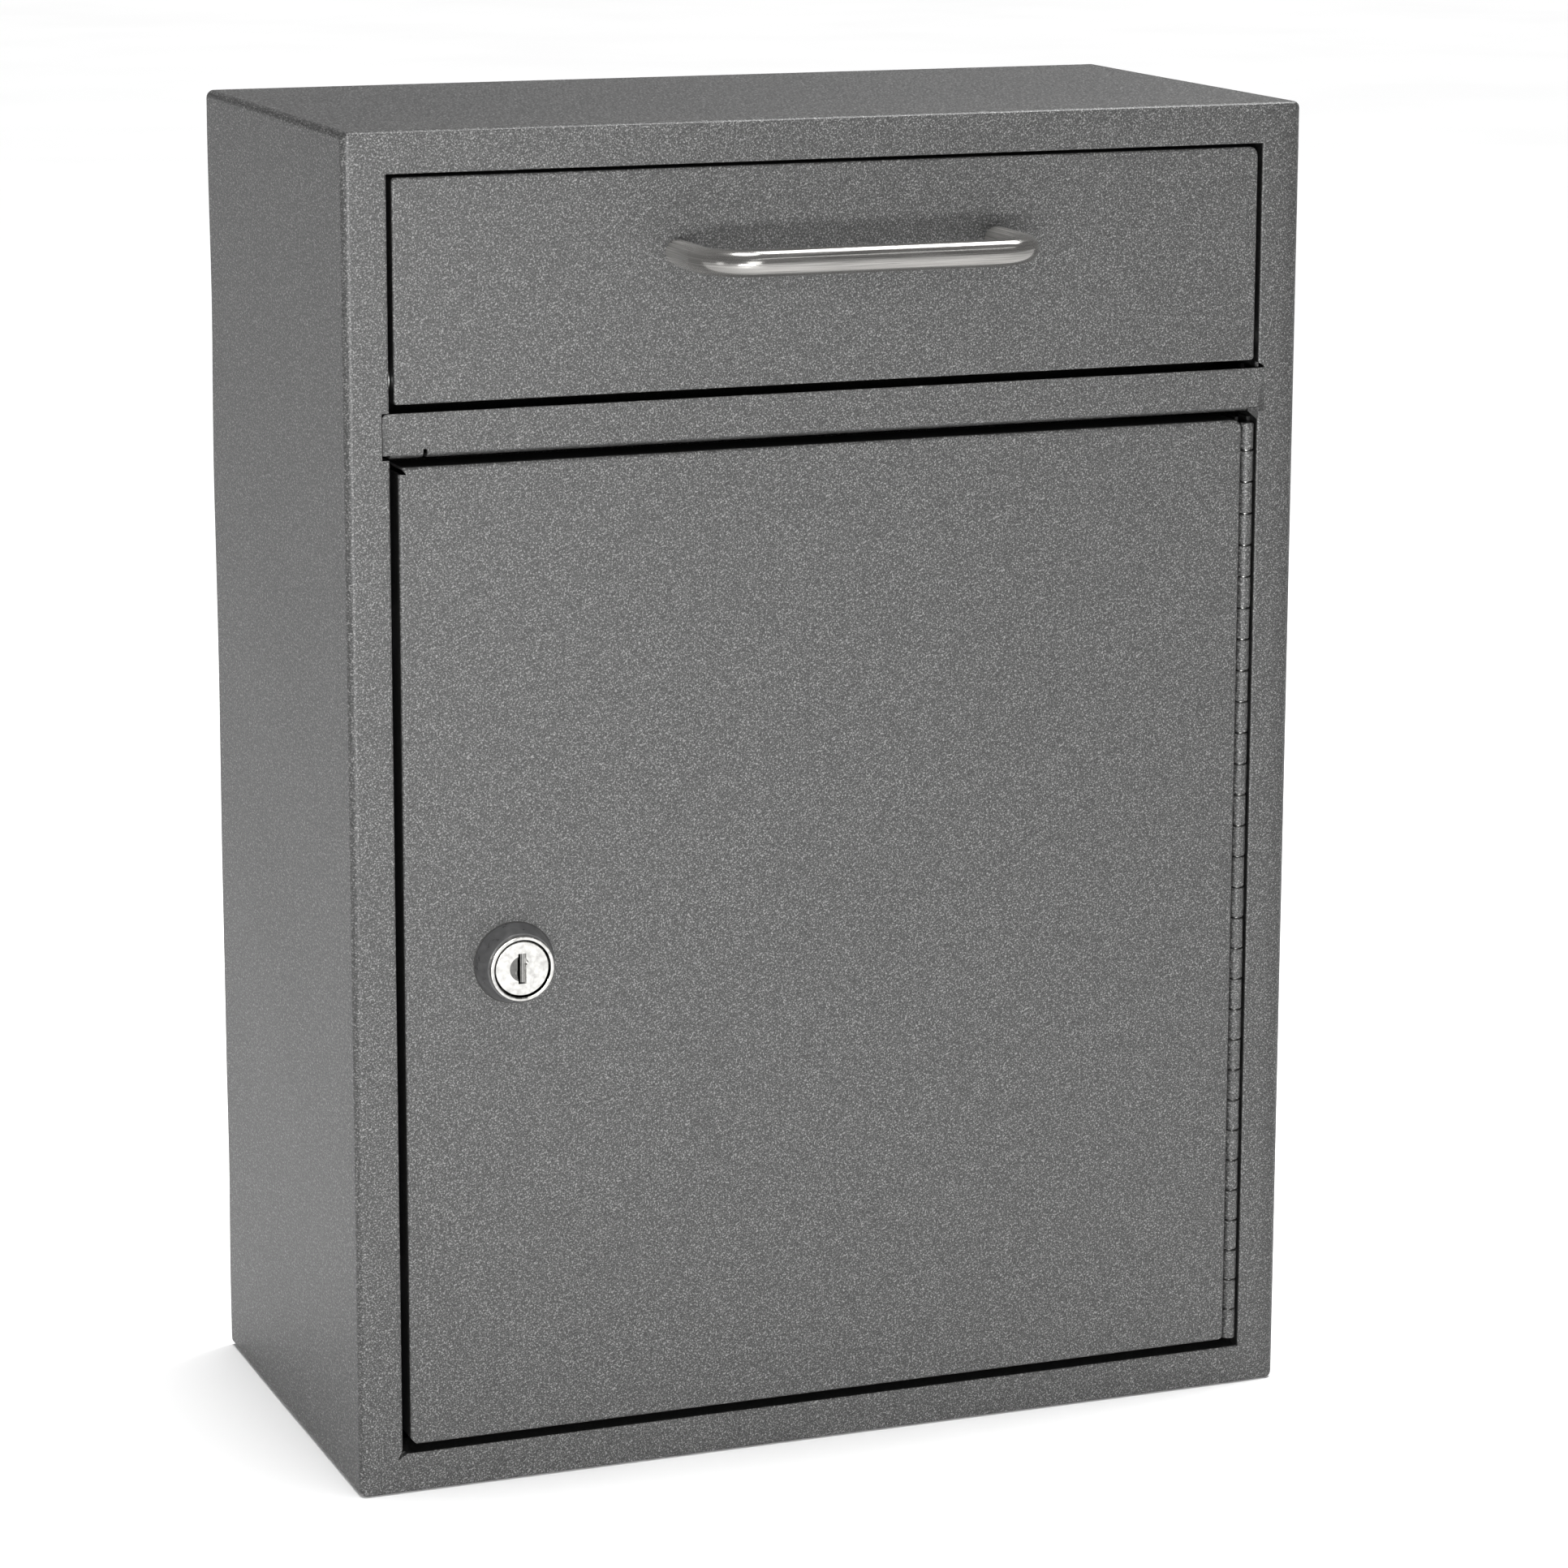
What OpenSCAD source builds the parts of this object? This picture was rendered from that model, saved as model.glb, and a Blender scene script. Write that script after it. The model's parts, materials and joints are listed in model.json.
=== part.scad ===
// Wall drop box in folded sheet steel: a pull-down deposit hopper above a locked collection door.
// The origin is the centre of the mounting holes on the wall face. The front faces -Y and +Z is up.

/* [Cabinet] */
// Width over the side walls
box_w = 305; // [270:1:360]
// Depth from the wall face to the front face
box_d = 150; // [135:1:200]
// Height over the top and bottom walls
box_h = 410; // [380:1:480]
// Thickness of the folded steel sheet
sheet = 1.2; // [1.0:0.1:1.5]
// Outside radius of the cabinet's bends
bend_r = 2.6; // [2:0.1:4]
// Width of the front frame at each side of the opening
jamb_w = 13.3; // [12:0.1:18]
// Height of the front frame above and below the opening
frame_h = 12.5; // [11:0.1:18]
// Depth of the lip folded back round the opening
lip_d = 14; // [13:0.1:16]

/* [Wall mounting] */
// Distance between the mounting holes across the back
mount_dx = 200; // [120:1:240]
// Distance between the upper and lower mounting holes
mount_dz = 190; // [120:1:200]
// Diameter of each mounting hole
mount_hole_d = 7; // [5:0.5:9]
// Depth of the back panel's folded edge
back_flange = 9; // [6:0.5:15]

/* [Cross rail] */
// Height of the rail's lower edge above the box's underside
rail_at = 315.1; // [300:0.1:330]
// Height of the rail between the door and the hopper
rail_h = 13.3; // [12:0.1:14]
// Length of rail let into each jamb
rail_let_in = 2.2; // [1:0.1:3]

/* [Hopper] */
// Gap between the hopper's front and each jamb
hopper_gap = 1.3; // [1.2:0.1:1.5]
// Gap between the hopper's front and the rail
hopper_foot_gap = 2.4; // [2.2:0.1:3]
// Gap between the hopper's front and the frame above it
hopper_head_gap = 0.8; // [0.7:0.1:1]
// Depth of the hopper front's folded edge
hopper_flange = 13; // [12:0.1:13.5]
// Outside radius of the hopper front's bends
hopper_bend = 1.6; // [1.3:0.1:2]
// Height of the pivot above the hopper's lower edge
pivot_up = 7; // [7:0.1:8]
// Depth of the pivot behind the front face
pivot_back = 7; // [6.5:0.1:7.5]
// Diameter of the pivot pins
pivot_d = 5; // [4:0.1:5]
// Angle that the hopper opens to
hopper_open = 45; // [35:1:45]
// Slope of the tray floor when the hopper is shut
tray_slope = 23; // [20:1:25]
// Reach of the tray floor behind the pivot
tray_reach = 86; // [70:1:86]

/* [Handle] */
// Distance between the centres of the handle's legs
handle_span = 101.6; // [96:0.1:128]
// Diameter of the handle's rod
rod_d = 8; // [7:0.1:10]
// Distance from the hopper's front to the centre of the grip
grip_out = 33; // [28:0.5:38]
// Bend radius at the centre of the rod
rod_bend = 14; // [10:0.5:16]
// Height of the handle above the box's underside
handle_at = 371.7; // [360:0.1:378]

/* [Door] */
// Gap between the door and the jamb on the lock side
door_gap = 2.3; // [2:0.1:3]
// Gap above and below the door
door_end_gap = 2.4; // [2:0.1:3]
// Depth of the door's folded edge
door_flange = 12.8; // [12:0.1:13]
// Outside radius of the door's bends
door_bend = 2.2; // [1.8:0.1:2.6]
// Angle that the door opens to
door_open = 110; // [90:1:110]

/* [Hinge] */
// Outside diameter of the hinge knuckles
knuckle_d = 4.4; // [4:0.1:4.8]
// Diameter of the hinge pin
hinge_pin_d = 2.2; // [2:0.1:2.4]
// Thickness of the hinge leaves
leaf_t = 1.0; // [0.8:0.1:1.1]
// Depth of the hinge leaves behind the pin
leaf_d = 9; // [8:0.1:9.5]
// Number of knuckles along the hinge
knuckles = 30; // [20:2:34]

/* [Lock] */
// Distance from the box's centre line to the lock
lock_left = 103; // [100:0.5:110]
// Height of the lock above the box's underside
lock_at = 162; // [120:1:240]
// Distance that the lock's face stands in front of the door
lock_out = 8.5; // [7:0.1:10]
// Diameter of the collar where it meets the door
collar_d = 24.4; // [22:0.1:27]
// Diameter of the bright ring round the key plug
ring_d = 19.8; // [19:0.1:21]
// Length of the cam from the lock's centre to its tip
cam_reach = 44; // [42:0.5:46]

/* [Hidden] */
$fn = 48;

// A cut reaches this far past the faces that it goes through
past = 1;
// Room left between two faces of one assembly that must not rub
slack = 0.1;
// Radial clearance of a pin turning in its hole
running = 0.05;

// Finishes
paint = [0.36, 0.36, 0.36];
zinc = [0.72, 0.72, 0.70];
nickel = [0.85, 0.85, 0.83];
steel = [0.74, 0.74, 0.72];
rubber = [0.08, 0.08, 0.08];
grey_plastic = [0.30, 0.30, 0.30];

// Planes of the box
front_y = -box_d;
left_x = -box_w / 2;
right_x = box_w / 2;
base_z = -box_h / 2;
top_z = box_h / 2;
skin_y = front_y + sheet;

// The front opening
open_x = box_w / 2 - jamb_w;
open_low = base_z + frame_h;
open_high = top_z - frame_h;
lip_y = front_y + lip_d;

// The rail across the opening
rail_low = base_z + rail_at;
rail_high = rail_low + rail_h;
rail_x = open_x + rail_let_in;
rail_fold = 12;
rail_bend = 2;
rail_corner = 1.5;

// The hopper's front and its pivot
hopper_x = open_x - hopper_gap;
hopper_low = rail_high + hopper_foot_gap;
hopper_high = open_high - hopper_head_gap;
pivot_y = front_y + pivot_back;
pivot_z = hopper_low + pivot_up;

// The tray behind the hopper's front, measured from the pivot
wing_x = hopper_x - sheet;
wing_front = sheet - pivot_back + 5 * slack;
wing_foot = sheet - pivot_up;
wing_low = wing_foot + 4 * slack;
wing_arc = hopper_high - sheet - pivot_z - 2 * slack;
stop_line = open_high - pivot_z - 5 * slack;
wing_end_r = 93;
tray_knee = hopper_flange - pivot_back + 2 * slack;
tray_end = wing_foot - (tray_reach - tray_knee) * tan(tray_slope);
tray_hem = 6;

// The guard behind the tray's sweep
guard_y = pivot_y + wing_end_r + 6;
guard_x = box_w / 2 - 4.5;
guard_drop = 54;
guard_fold = 14;

// The pivot pins, from the jamb's lip inwards
pin_head_d = 8;
pin_head_t = 1.2;
rivet_head_d = 8;
rivet_head_t = 1;
spacer_d = 10;

// The door
door_left = -open_x + door_gap;
door_low = open_low + door_end_gap;
door_high = rail_low - door_end_gap;

// The hinge, whose leaves lie on the door's edge and the jamb's lip
knuckle_r = knuckle_d / 2;
hinge_run = 0.3;
hinge_x = open_x - hinge_run - knuckle_r;
hinge_y = front_y + knuckle_r;
door_right = hinge_x - knuckle_r - hinge_run;
hinge_low = door_low;
hinge_len = door_high - door_low;
knuckle_pitch = hinge_len / knuckles;
knuckle_gap = 0.3;
leaf_from = hinge_y + knuckle_r + 0.8;
leaf_to = hinge_y + leaf_d;

// The stops behind the hopper and the door
tab_w = 14;
tab_fold = 12;
hopper_tab_x = 107;
hopper_pad_y = front_y + hopper_flange + slack;
hopper_pad_t = 2.4;
hopper_tab_low = hopper_high - 6;
door_pad_y = front_y + door_flange + 1.5 * slack;
door_pad_t = 1.3;
door_tab_z = [-142, 58];
door_tab_in = 8;

// The handle
handle_z = base_z + handle_at;
leg_x = handle_span / 2;
grip_y = front_y - grip_out;
screw_r = 2;
screw_hole_r = 2.25;
screw_bite = 10;
screw_head_d = 7.8;
screw_head_t = 2.6;
screw_washer_d = 9.6;
screw_washer_t = 0.8;
recess_w = 1.1;
recess_l = 4.4;
recess_deep = 1.3;

// The lock, whose axis runs along Y
lock_x = -lock_left;
lock_z = base_z + lock_at;
lock_face_y = front_y - lock_out;
ring_t = 1.6;
ring_lip = 0.65;
ring_y = lock_face_y + ring_t;
barrel_r = 9.4;
barrel_flat = 7.9;
barrel_end_y = lip_y - 1;
barrel_fit = 0.2;
plug_face_r = ring_d / 2 - ring_lip - 0.75;
plug_face_gap = 0.2;
plug_face_back = 0.35;
plug_face_t = 2.6;
plug_r = 6.05;
cam_y = lip_y + 0.4;
cam_t = 2;
cam_w = 12;
cam_hub_r = 8.5;
tail = 7;
nut_af = 24;
nut_t = 4;
lock_washer_d = 25;
lock_washer_t = 0.8;
slot_w = 2.5;
slot_h = 9.2;
slot_deep = 9;
thumb_r = 3.9;
thumb_deep = 1;
cam_screw_r = 2;
cam_screw_bite = 8;
cam_screw_head_r = 4.2;
cam_screw_head_t = 2.6;
cam_washer_r = 5.5;
cam_washer_t = 0.8;

// ---- Shared shapes ----

// A flat square with its four corners rounded
module soft_square(x0, y0, x1, y1, r) {
    translate([x0 + r, y0]) square([x1 - x0 - 2 * r, y1 - y0]);
    translate([x0, y0 + r]) square([x1 - x0, y1 - y0 - 2 * r]);
    for (x = [x0 + r, x1 - r], y = [y0 + r, y1 - r]) translate([x, y]) circle(r);
}

// A flat square with only the two corners at its low-y side rounded
module nosed_square(x0, y0, x1, y1, r) {
    translate([x0 + r, y0]) square([x1 - x0 - 2 * r, y1 - y0]);
    translate([x0, y0 + r]) square([x1 - x0, y1 - y0 - r]);
    for (x = [x0 + r, x1 - r]) translate([x, y0 + r]) circle(r);
}

// Extrudes a drawing in X and Z along Y, from y0 to y1
module along_y(y0, y1) {
    translate([0, y1, 0]) rotate([90, 0, 0]) linear_extrude(y1 - y0) children();
}

// Extrudes a drawing in Z and Y along X, from x0 to x1
module along_x(x0, x1) {
    translate([x1, 0, 0]) rotate([0, -90, 0]) linear_extrude(x1 - x0) children();
}

// A block from corner a to corner b
module block(a, b) {
    translate(a) cube(b - a);
}

// A block whose front edges and long edges have the radius of a sheet bend
module bent_block(a, b, r) {
    intersection() {
        along_y(a[1], b[1]) soft_square(a[0], a[2], b[0], b[2], r);
        translate([0, 0, a[2]]) linear_extrude(b[2] - a[2]) nosed_square(a[0], a[1], b[0], b[1], r);
        along_x(a[0], b[0]) nosed_square(a[2], a[1], b[2], b[1], r);
    }
}

// A pan folded from sheet: a front face with an edge turned back on all four sides
module pan(a, b, r) {
    inner = [a[0] + sheet, a[1] + sheet, a[2] + sheet];
    outer = [b[0] - sheet, b[1] + past, b[2] - sheet];
    difference() {
        bent_block(a, b, r);
        bent_block(inner, outer, max(r - sheet, 4 * slack));
    }
}

// A cylinder along Y, from y0 to y1
module rod_y(x, z, r, y0, y1) {
    translate([x, y1, z]) rotate([90, 0, 0]) cylinder(h = y1 - y0, r = r);
}

// A cylinder along X, from x0 to x1
module rod_x(y, z, r, x0, x1) {
    translate([x0, y, z]) rotate([0, 90, 0]) cylinder(h = x1 - x0, r = r);
}

// The child and its mirror image on the other side of the box
module both_sides() {
    children();
    mirror([1, 0, 0]) children();
}

// ---- Cabinet ----

// Wrapper with its front frame and the lip folded back round the opening
module cabinet_shell() {
    corner_slit = 3;
    notch_rise = 2;
    color(paint) difference() {
        union() {
            difference() {
                bent_block([left_x, front_y, base_z], [right_x, 0, top_z], bend_r);
                bent_block([left_x + sheet, skin_y, base_z + sheet],
                           [right_x - sheet, past, top_z - sheet], bend_r - sheet);
            }
            block([-open_x - sheet, front_y, open_low - sheet], [open_x + sheet, lip_y, open_high + sheet]);
        }
        block([-open_x, front_y - past, open_low], [open_x, lip_y + past, open_high]);
        both_sides() jamb_edge();
        for (side = [-1, 1]) translate([side * open_x, 0, 0])
            block([-rail_let_in, front_y - past, rail_low], [rail_let_in, front_y + rail_fold, rail_high]);
        block([open_x - past, front_y - past, rail_high - slack],
              [rail_x, skin_y + past, rail_high + notch_rise]);
        both_sides() rod_x(pivot_y, pivot_z, pivot_d / 2 + running, open_x - past, open_x + sheet + past);
        translate([-open_x, 0, open_low]) rotate([0, 45, 0])
            block([-corner_slit, front_y - past, -sheet / 2], [corner_slit, skin_y + past, sheet / 2]);
    }
}

// The material outside the bend on the jamb's inner edge
module jamb_edge() {
    r = 1.5;
    difference() {
        block([open_x - past, front_y - past, open_low], [open_x + r, front_y + r, open_high]);
        translate([open_x + r, front_y + r, open_low - past])
            cylinder(h = open_high - open_low + 2 * past, r = r);
    }
}

// Back panel welded inside the wrapper, with the four wall holes
module back_panel() {
    x = box_w / 2 - sheet;
    z = box_h / 2 - sheet;
    r = bend_r - sheet;
    color(paint) difference() {
        along_y(-back_flange, 0) soft_square(-x, -z, x, z, r);
        along_y(-back_flange - past, -sheet) soft_square(-x + sheet, -z + sheet, x - sheet, z - sheet, r / 2);
        for (sx = [-1, 1], sz = [-1, 1])
            rod_y(sx * mount_dx / 2, sz * mount_dz / 2, mount_hole_d / 2, -back_flange, past);
    }
}

// Rail across the opening, let into both jambs, with its lower edge folded back
module cross_rail() {
    fold_x = open_x - slack;
    color(paint) difference() {
        along_x(-rail_x, rail_x) nosed_rail();
        both_sides() {
            block([fold_x, skin_y, rail_low - past],
                  [rail_x + past, front_y + rail_fold + past, rail_high + past]);
            rail_corner_cut();
        }
    }
}

// Cross-section of the rail: an upright face and a fold along its lower edge
module nosed_rail() {
    difference() {
        union() {
            translate([rail_low + rail_bend, front_y]) square([rail_h - rail_bend, rail_fold]);
            translate([rail_low, front_y + rail_bend]) square([rail_h, rail_fold - rail_bend]);
            translate([rail_low + rail_bend, front_y + rail_bend]) circle(rail_bend);
        }
        translate([rail_low + rail_bend, skin_y]) square([rail_h, rail_fold]);
        translate([rail_low + sheet, front_y + rail_bend]) square([rail_h, rail_fold]);
        translate([rail_low + rail_bend, front_y + rail_bend]) circle(rail_bend - sheet);
    }
}

// The material outside the rail's rounded upper corner
module rail_corner_cut() {
    difference() {
        block([rail_x - rail_corner, front_y - past, rail_high - rail_corner],
              [rail_x + past, skin_y + past, rail_high + past]);
        rod_y(rail_x - rail_corner, rail_high - rail_corner, rail_corner, front_y - 2 * past, skin_y + 2 * past);
    }
}

// Baffle under the top wall that closes the way past the raised tray
module chute_guard() {
    under = top_z - sheet;
    hem = 5;
    color(paint) {
        block([-guard_x, guard_y, under - guard_drop], [guard_x, guard_y + sheet, under]);
        block([-guard_x, guard_y, under - sheet], [guard_x, guard_y + guard_fold, under]);
        block([-guard_x, guard_y, under - guard_drop], [guard_x, guard_y + hem, under - guard_drop + sheet]);
    }
}

// Two angle tabs under the top wall that the hopper shuts against
module hopper_stop_tabs() {
    y = hopper_pad_y + hopper_pad_t;
    under = top_z - sheet;
    color(paint) both_sides() {
        block([hopper_tab_x - tab_w / 2, y, hopper_tab_low], [hopper_tab_x + tab_w / 2, y + sheet, under]);
        block([hopper_tab_x - tab_w / 2, y, under - sheet], [hopper_tab_x + tab_w / 2, y + tab_fold, under]);
    }
}

// Rubber pads on the hopper's stop tabs
module hopper_bumpers() {
    r = 3;
    y = hopper_pad_y + hopper_pad_t;
    color(rubber) both_sides() rod_y(hopper_tab_x, hopper_tab_low + r, r, hopper_pad_y, y);
}

// Two angle tabs on the lock side's lip that the door shuts against
module door_stop_tabs() {
    y = door_pad_y + door_pad_t;
    x = -open_x - sheet;
    color(paint) for (z = door_tab_z) {
        block([x - sheet, y - tab_fold, z - tab_w / 2], [x, y + sheet, z + tab_w / 2]);
        block([x - sheet, y, z - tab_w / 2], [-open_x + door_tab_in, y + sheet, z + tab_w / 2]);
    }
}

// Rubber pads on the door's stop tabs
module door_bumpers() {
    half = 5;
    wide = 4.5;
    color(rubber) for (z = door_tab_z)
        block([-open_x + door_tab_in - wide, door_pad_y, z - half],
              [-open_x + door_tab_in, door_pad_y + door_pad_t, z + half]);
}

// ---- Hinge ----

// Every second knuckle, starting from the given one, with the strap that joins it to its leaf
module knuckle_row(first, strap_x) {
    for (i = [first:2:knuckles - 1]) translate([0, 0, hinge_low + i * knuckle_pitch]) {
        translate([hinge_x, hinge_y, knuckle_gap / 2]) cylinder(h = knuckle_pitch - knuckle_gap, r = knuckle_r);
        block([strap_x, hinge_y, knuckle_gap / 2],
              [strap_x + leaf_t, leaf_from + slack, knuckle_pitch - knuckle_gap / 2]);
    }
}

// One leaf of the hinge, drilled for the pin
module hinge_leaf(first, strap_x) {
    difference() {
        union() {
            knuckle_row(first, strap_x);
            block([strap_x, leaf_from, hinge_low], [strap_x + leaf_t, leaf_to, hinge_low + hinge_len]);
        }
        translate([hinge_x, hinge_y, hinge_low - past])
            cylinder(h = hinge_len + 2 * past, r = hinge_pin_d / 2 + running);
    }
}

// Leaf welded to the jamb's lip
module hinge_frame_leaf() {
    color(paint) hinge_leaf(0, open_x - leaf_t);
}

// Leaf welded to the door's folded edge
module hinge_door_leaf() {
    color(paint) hinge_leaf(1, door_right);
}

// Pin through all the knuckles
module hinge_pin() {
    end_in = 0.5;
    color(zinc) translate([hinge_x, hinge_y, hinge_low + end_in])
        cylinder(h = hinge_len - 2 * end_in, r = hinge_pin_d / 2);
}

// ---- Hopper ----

// Rivets in the jambs' lips that the hopper turns on
module pivot_pins() {
    inner = wing_x - sheet - 2 * slack;
    outer = open_x + sheet;
    color(zinc) both_sides() {
        rod_x(pivot_y, pivot_z, pivot_d / 2, inner, outer);
        rod_x(pivot_y, pivot_z, pin_head_d / 2, inner - pin_head_t, inner);
        rod_x(pivot_y, pivot_z, rivet_head_d / 2, outer, outer + rivet_head_t);
    }
}

// Spacer rings that keep the hopper clear of the jambs
module pivot_spacers() {
    color(zinc) both_sides() difference() {
        rod_x(pivot_y, pivot_z, spacer_d / 2, hopper_x + slack, open_x - slack);
        rod_x(pivot_y, pivot_z, pivot_d / 2 + running, hopper_x - past, open_x + past);
    }
}

// Front of the hopper, a folded pan drilled for the handle and the pivots
module hopper_panel() {
    color(paint) difference() {
        pan([-hopper_x, front_y, hopper_low], [hopper_x, front_y + hopper_flange, hopper_high], hopper_bend);
        for (side = [-1, 1])
            rod_y(side * leg_x, handle_z, screw_hole_r, front_y - past, skin_y + past);
        both_sides() rod_x(pivot_y, pivot_z, pivot_d / 2 + running, wing_x - past, hopper_x + past);
    }
}

// Outline of one wing in Z and Y, measured from the pivot
module wing_outline() {
    foot_z = stop_line * cos(hopper_open);
    foot_y = stop_line * sin(hopper_open);
    run = sqrt(wing_end_r * wing_end_r - stop_line * stop_line);
    end_z = foot_z - run * sin(hopper_open);
    end_y = foot_y + run * cos(hopper_open);
    intersection() {
        circle(wing_arc);
        translate([wing_low, wing_front]) square([wing_arc, wing_arc + pivot_back]);
    }
    polygon([[wing_low, wing_front], [wing_arc / 2, wing_front], [foot_z, foot_y], [end_z, end_y],
             [tray_end, tray_reach], [wing_foot, tray_knee], [wing_low, tray_knee]]);
}

// Tray behind the hopper's front: a sloped floor between two wings
module hopper_tray() {
    lie = wing_foot + sheet;
    slope = tan(tray_slope);
    hem_z = tray_end + tray_hem * slope;
    color(paint) translate([0, pivot_y, pivot_z]) {
        both_sides() difference() {
            along_x(wing_x - sheet, wing_x) wing_outline();
            rod_x(0, 0, pivot_d / 2 + running, wing_x - sheet - past, wing_x + past);
        }
        along_x(-wing_x + sheet, wing_x - sheet) {
            polygon([[wing_foot, wing_front], [lie, wing_front], [lie, tray_knee + sheet * slope / 2],
                     [tray_end + sheet, tray_reach], [tray_end, tray_reach], [wing_foot, tray_knee]]);
            polygon([[tray_end, tray_reach], [tray_end - sheet, tray_reach],
                     [hem_z - sheet, tray_reach - tray_hem], [hem_z, tray_reach - tray_hem]]);
        }
    }
}

// Bent-rod pull handle, tapped in the end of each leg
module pull_handle() {
    r = rod_d / 2;
    bar_x = leg_x - rod_bend;
    color(steel) difference() {
        union() {
            both_sides() {
                rod_y(leg_x, handle_z, r, grip_y + rod_bend, front_y);
                translate([bar_x, grip_y + rod_bend, handle_z]) rotate([0, 0, -90])
                    rotate_extrude(angle = 90) translate([rod_bend, 0]) circle(r);
            }
            rod_x(grip_y, handle_z, r, -bar_x, bar_x);
        }
        both_sides() rod_y(leg_x, handle_z, screw_r + running, front_y - screw_bite - past, front_y + past);
    }
}

// A cross recess in a screw's head, cut from the head's top at y
module cross_recess(x, y, z) {
    for (turn = [0, 90]) translate([x, y, z]) rotate([0, turn, 0])
        block([-recess_l / 2, -recess_deep, -recess_w / 2], [recess_l / 2, past, recess_w / 2]);
}

// Screws through the hopper's front into the handle's legs
module handle_screws() {
    seat = skin_y + screw_washer_t;
    color(zinc) both_sides() difference() {
        union() {
            rod_y(leg_x, handle_z, screw_r, front_y - screw_bite, seat);
            rod_y(leg_x, handle_z, screw_head_d / 2, seat, seat + screw_head_t);
        }
        cross_recess(leg_x, seat + screw_head_t, handle_z);
    }
}

// Washers under the handle screws' heads
module handle_washers() {
    color(zinc) both_sides() difference() {
        rod_y(leg_x, handle_z, screw_washer_d / 2, skin_y, skin_y + screw_washer_t);
        rod_y(leg_x, handle_z, screw_hole_r, skin_y - past, skin_y + screw_washer_t + past);
    }
}

// ---- Door ----

// Door, a folded pan with open corners and a double-flatted hole for the lock
module door_panel() {
    relief = 1.6;
    color(paint) difference() {
        pan([door_left, front_y, door_low], [door_right, front_y + door_flange, door_high], door_bend);
        along_y(front_y - past, skin_y + past) lock_section(barrel_fit);
        for (z = [door_low, door_high])
            rod_y(door_left, z, relief, front_y - past, front_y + door_flange + past);
    }
}

// ---- Lock ----

// Double-flatted section of the lock's barrel, grown by a fit
module lock_section(fit) {
    translate([lock_x, lock_z]) intersection() {
        circle(barrel_r + fit);
        square([2 * (barrel_flat + fit), 4 * barrel_r], center = true);
    }
}

// Tapered collar between the lock's head and the door
module lock_collar() {
    nose = ring_d / 2 + 0.5;
    color(grey_plastic) difference() {
        translate([lock_x, front_y, lock_z]) rotate([90, 0, 0])
            cylinder(h = front_y - ring_y, r1 = collar_d / 2, r2 = nose);
        rod_y(lock_x, lock_z, barrel_r + barrel_fit / 2, ring_y - past, front_y + past);
    }
}

// Barrel of the lock with the bright ring at its front
module lock_housing() {
    seat_y = lock_face_y + plug_face_back + plug_face_t + slack;
    color(nickel) difference() {
        union() {
            along_y(ring_y, barrel_end_y) lock_section(0);
            rod_y(lock_x, lock_z, ring_d / 2, lock_face_y, ring_y);
        }
        rod_y(lock_x, lock_z, plug_face_r + plug_face_gap, lock_face_y - past, seat_y);
        rod_y(lock_x, lock_z, plug_r + running, lock_face_y, barrel_end_y + past);
    }
}

// Toothed washer between the door and the lock's nut
module lock_washer() {
    color(zinc) difference() {
        rod_y(lock_x, lock_z, lock_washer_d / 2, skin_y, skin_y + lock_washer_t);
        rod_y(lock_x, lock_z, barrel_r + barrel_fit, skin_y - past, skin_y + lock_washer_t + past);
    }
}

// Nut that clamps the lock to the door
module lock_nut() {
    y = skin_y + lock_washer_t;
    color(zinc) difference() {
        along_y(y, y + nut_t) translate([lock_x, lock_z]) circle(nut_af / 2 / cos(30), $fn = 6);
        rod_y(lock_x, lock_z, barrel_r + running, y - past, y + nut_t + past);
    }
}

// Plug that the key turns, with its keyway and a square tail for the cam
module lock_plug() {
    face_y = lock_face_y + plug_face_back;
    step_y = face_y + plug_face_t;
    tail_y = cam_y - slack;
    color(nickel) difference() {
        union() {
            rod_y(lock_x, lock_z, plug_face_r, face_y, step_y);
            rod_y(lock_x, lock_z, plug_r, step_y, tail_y);
            translate([lock_x, 0, lock_z])
                block([-tail / 2, tail_y, -tail / 2], [tail / 2, cam_y + cam_t - slack, tail / 2]);
        }
        translate([lock_x, 0, lock_z])
            block([-slot_w / 2, face_y - past, -slot_h / 2], [slot_w / 2, face_y + slot_deep, slot_h / 2]);
        intersection() {
            rod_y(lock_x, lock_z, thumb_r, face_y - past, face_y + thumb_deep);
            translate([lock_x, 0, lock_z])
                block([-thumb_r, face_y - past, -thumb_r], [0, face_y + thumb_deep, thumb_r]);
        }
        rod_y(lock_x, lock_z, cam_screw_r + running, cam_y - cam_screw_bite, cam_y + cam_t + past);
    }
}

// Cam that turns behind the jamb's lip, hanging down when unlocked
module lock_cam() {
    tip = cam_reach - cam_w / 2;
    color(zinc) difference() {
        along_y(cam_y, cam_y + cam_t) translate([lock_x, lock_z]) {
            circle(cam_hub_r);
            translate([-cam_w / 2, -tip]) square([cam_w, tip]);
            translate([0, -tip]) circle(cam_w / 2);
        }
        translate([lock_x, 0, lock_z])
            block([-tail / 2 - slack, cam_y - past, -tail / 2 - slack],
                  [tail / 2 + slack, cam_y + cam_t + past, tail / 2 + slack]);
    }
}

// Washer under the cam screw's head
module cam_washer() {
    y = cam_y + cam_t;
    color(zinc) difference() {
        rod_y(lock_x, lock_z, cam_washer_r, y, y + cam_washer_t);
        rod_y(lock_x, lock_z, cam_screw_r + 2 * slack, y - past, y + cam_washer_t + past);
    }
}

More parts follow.
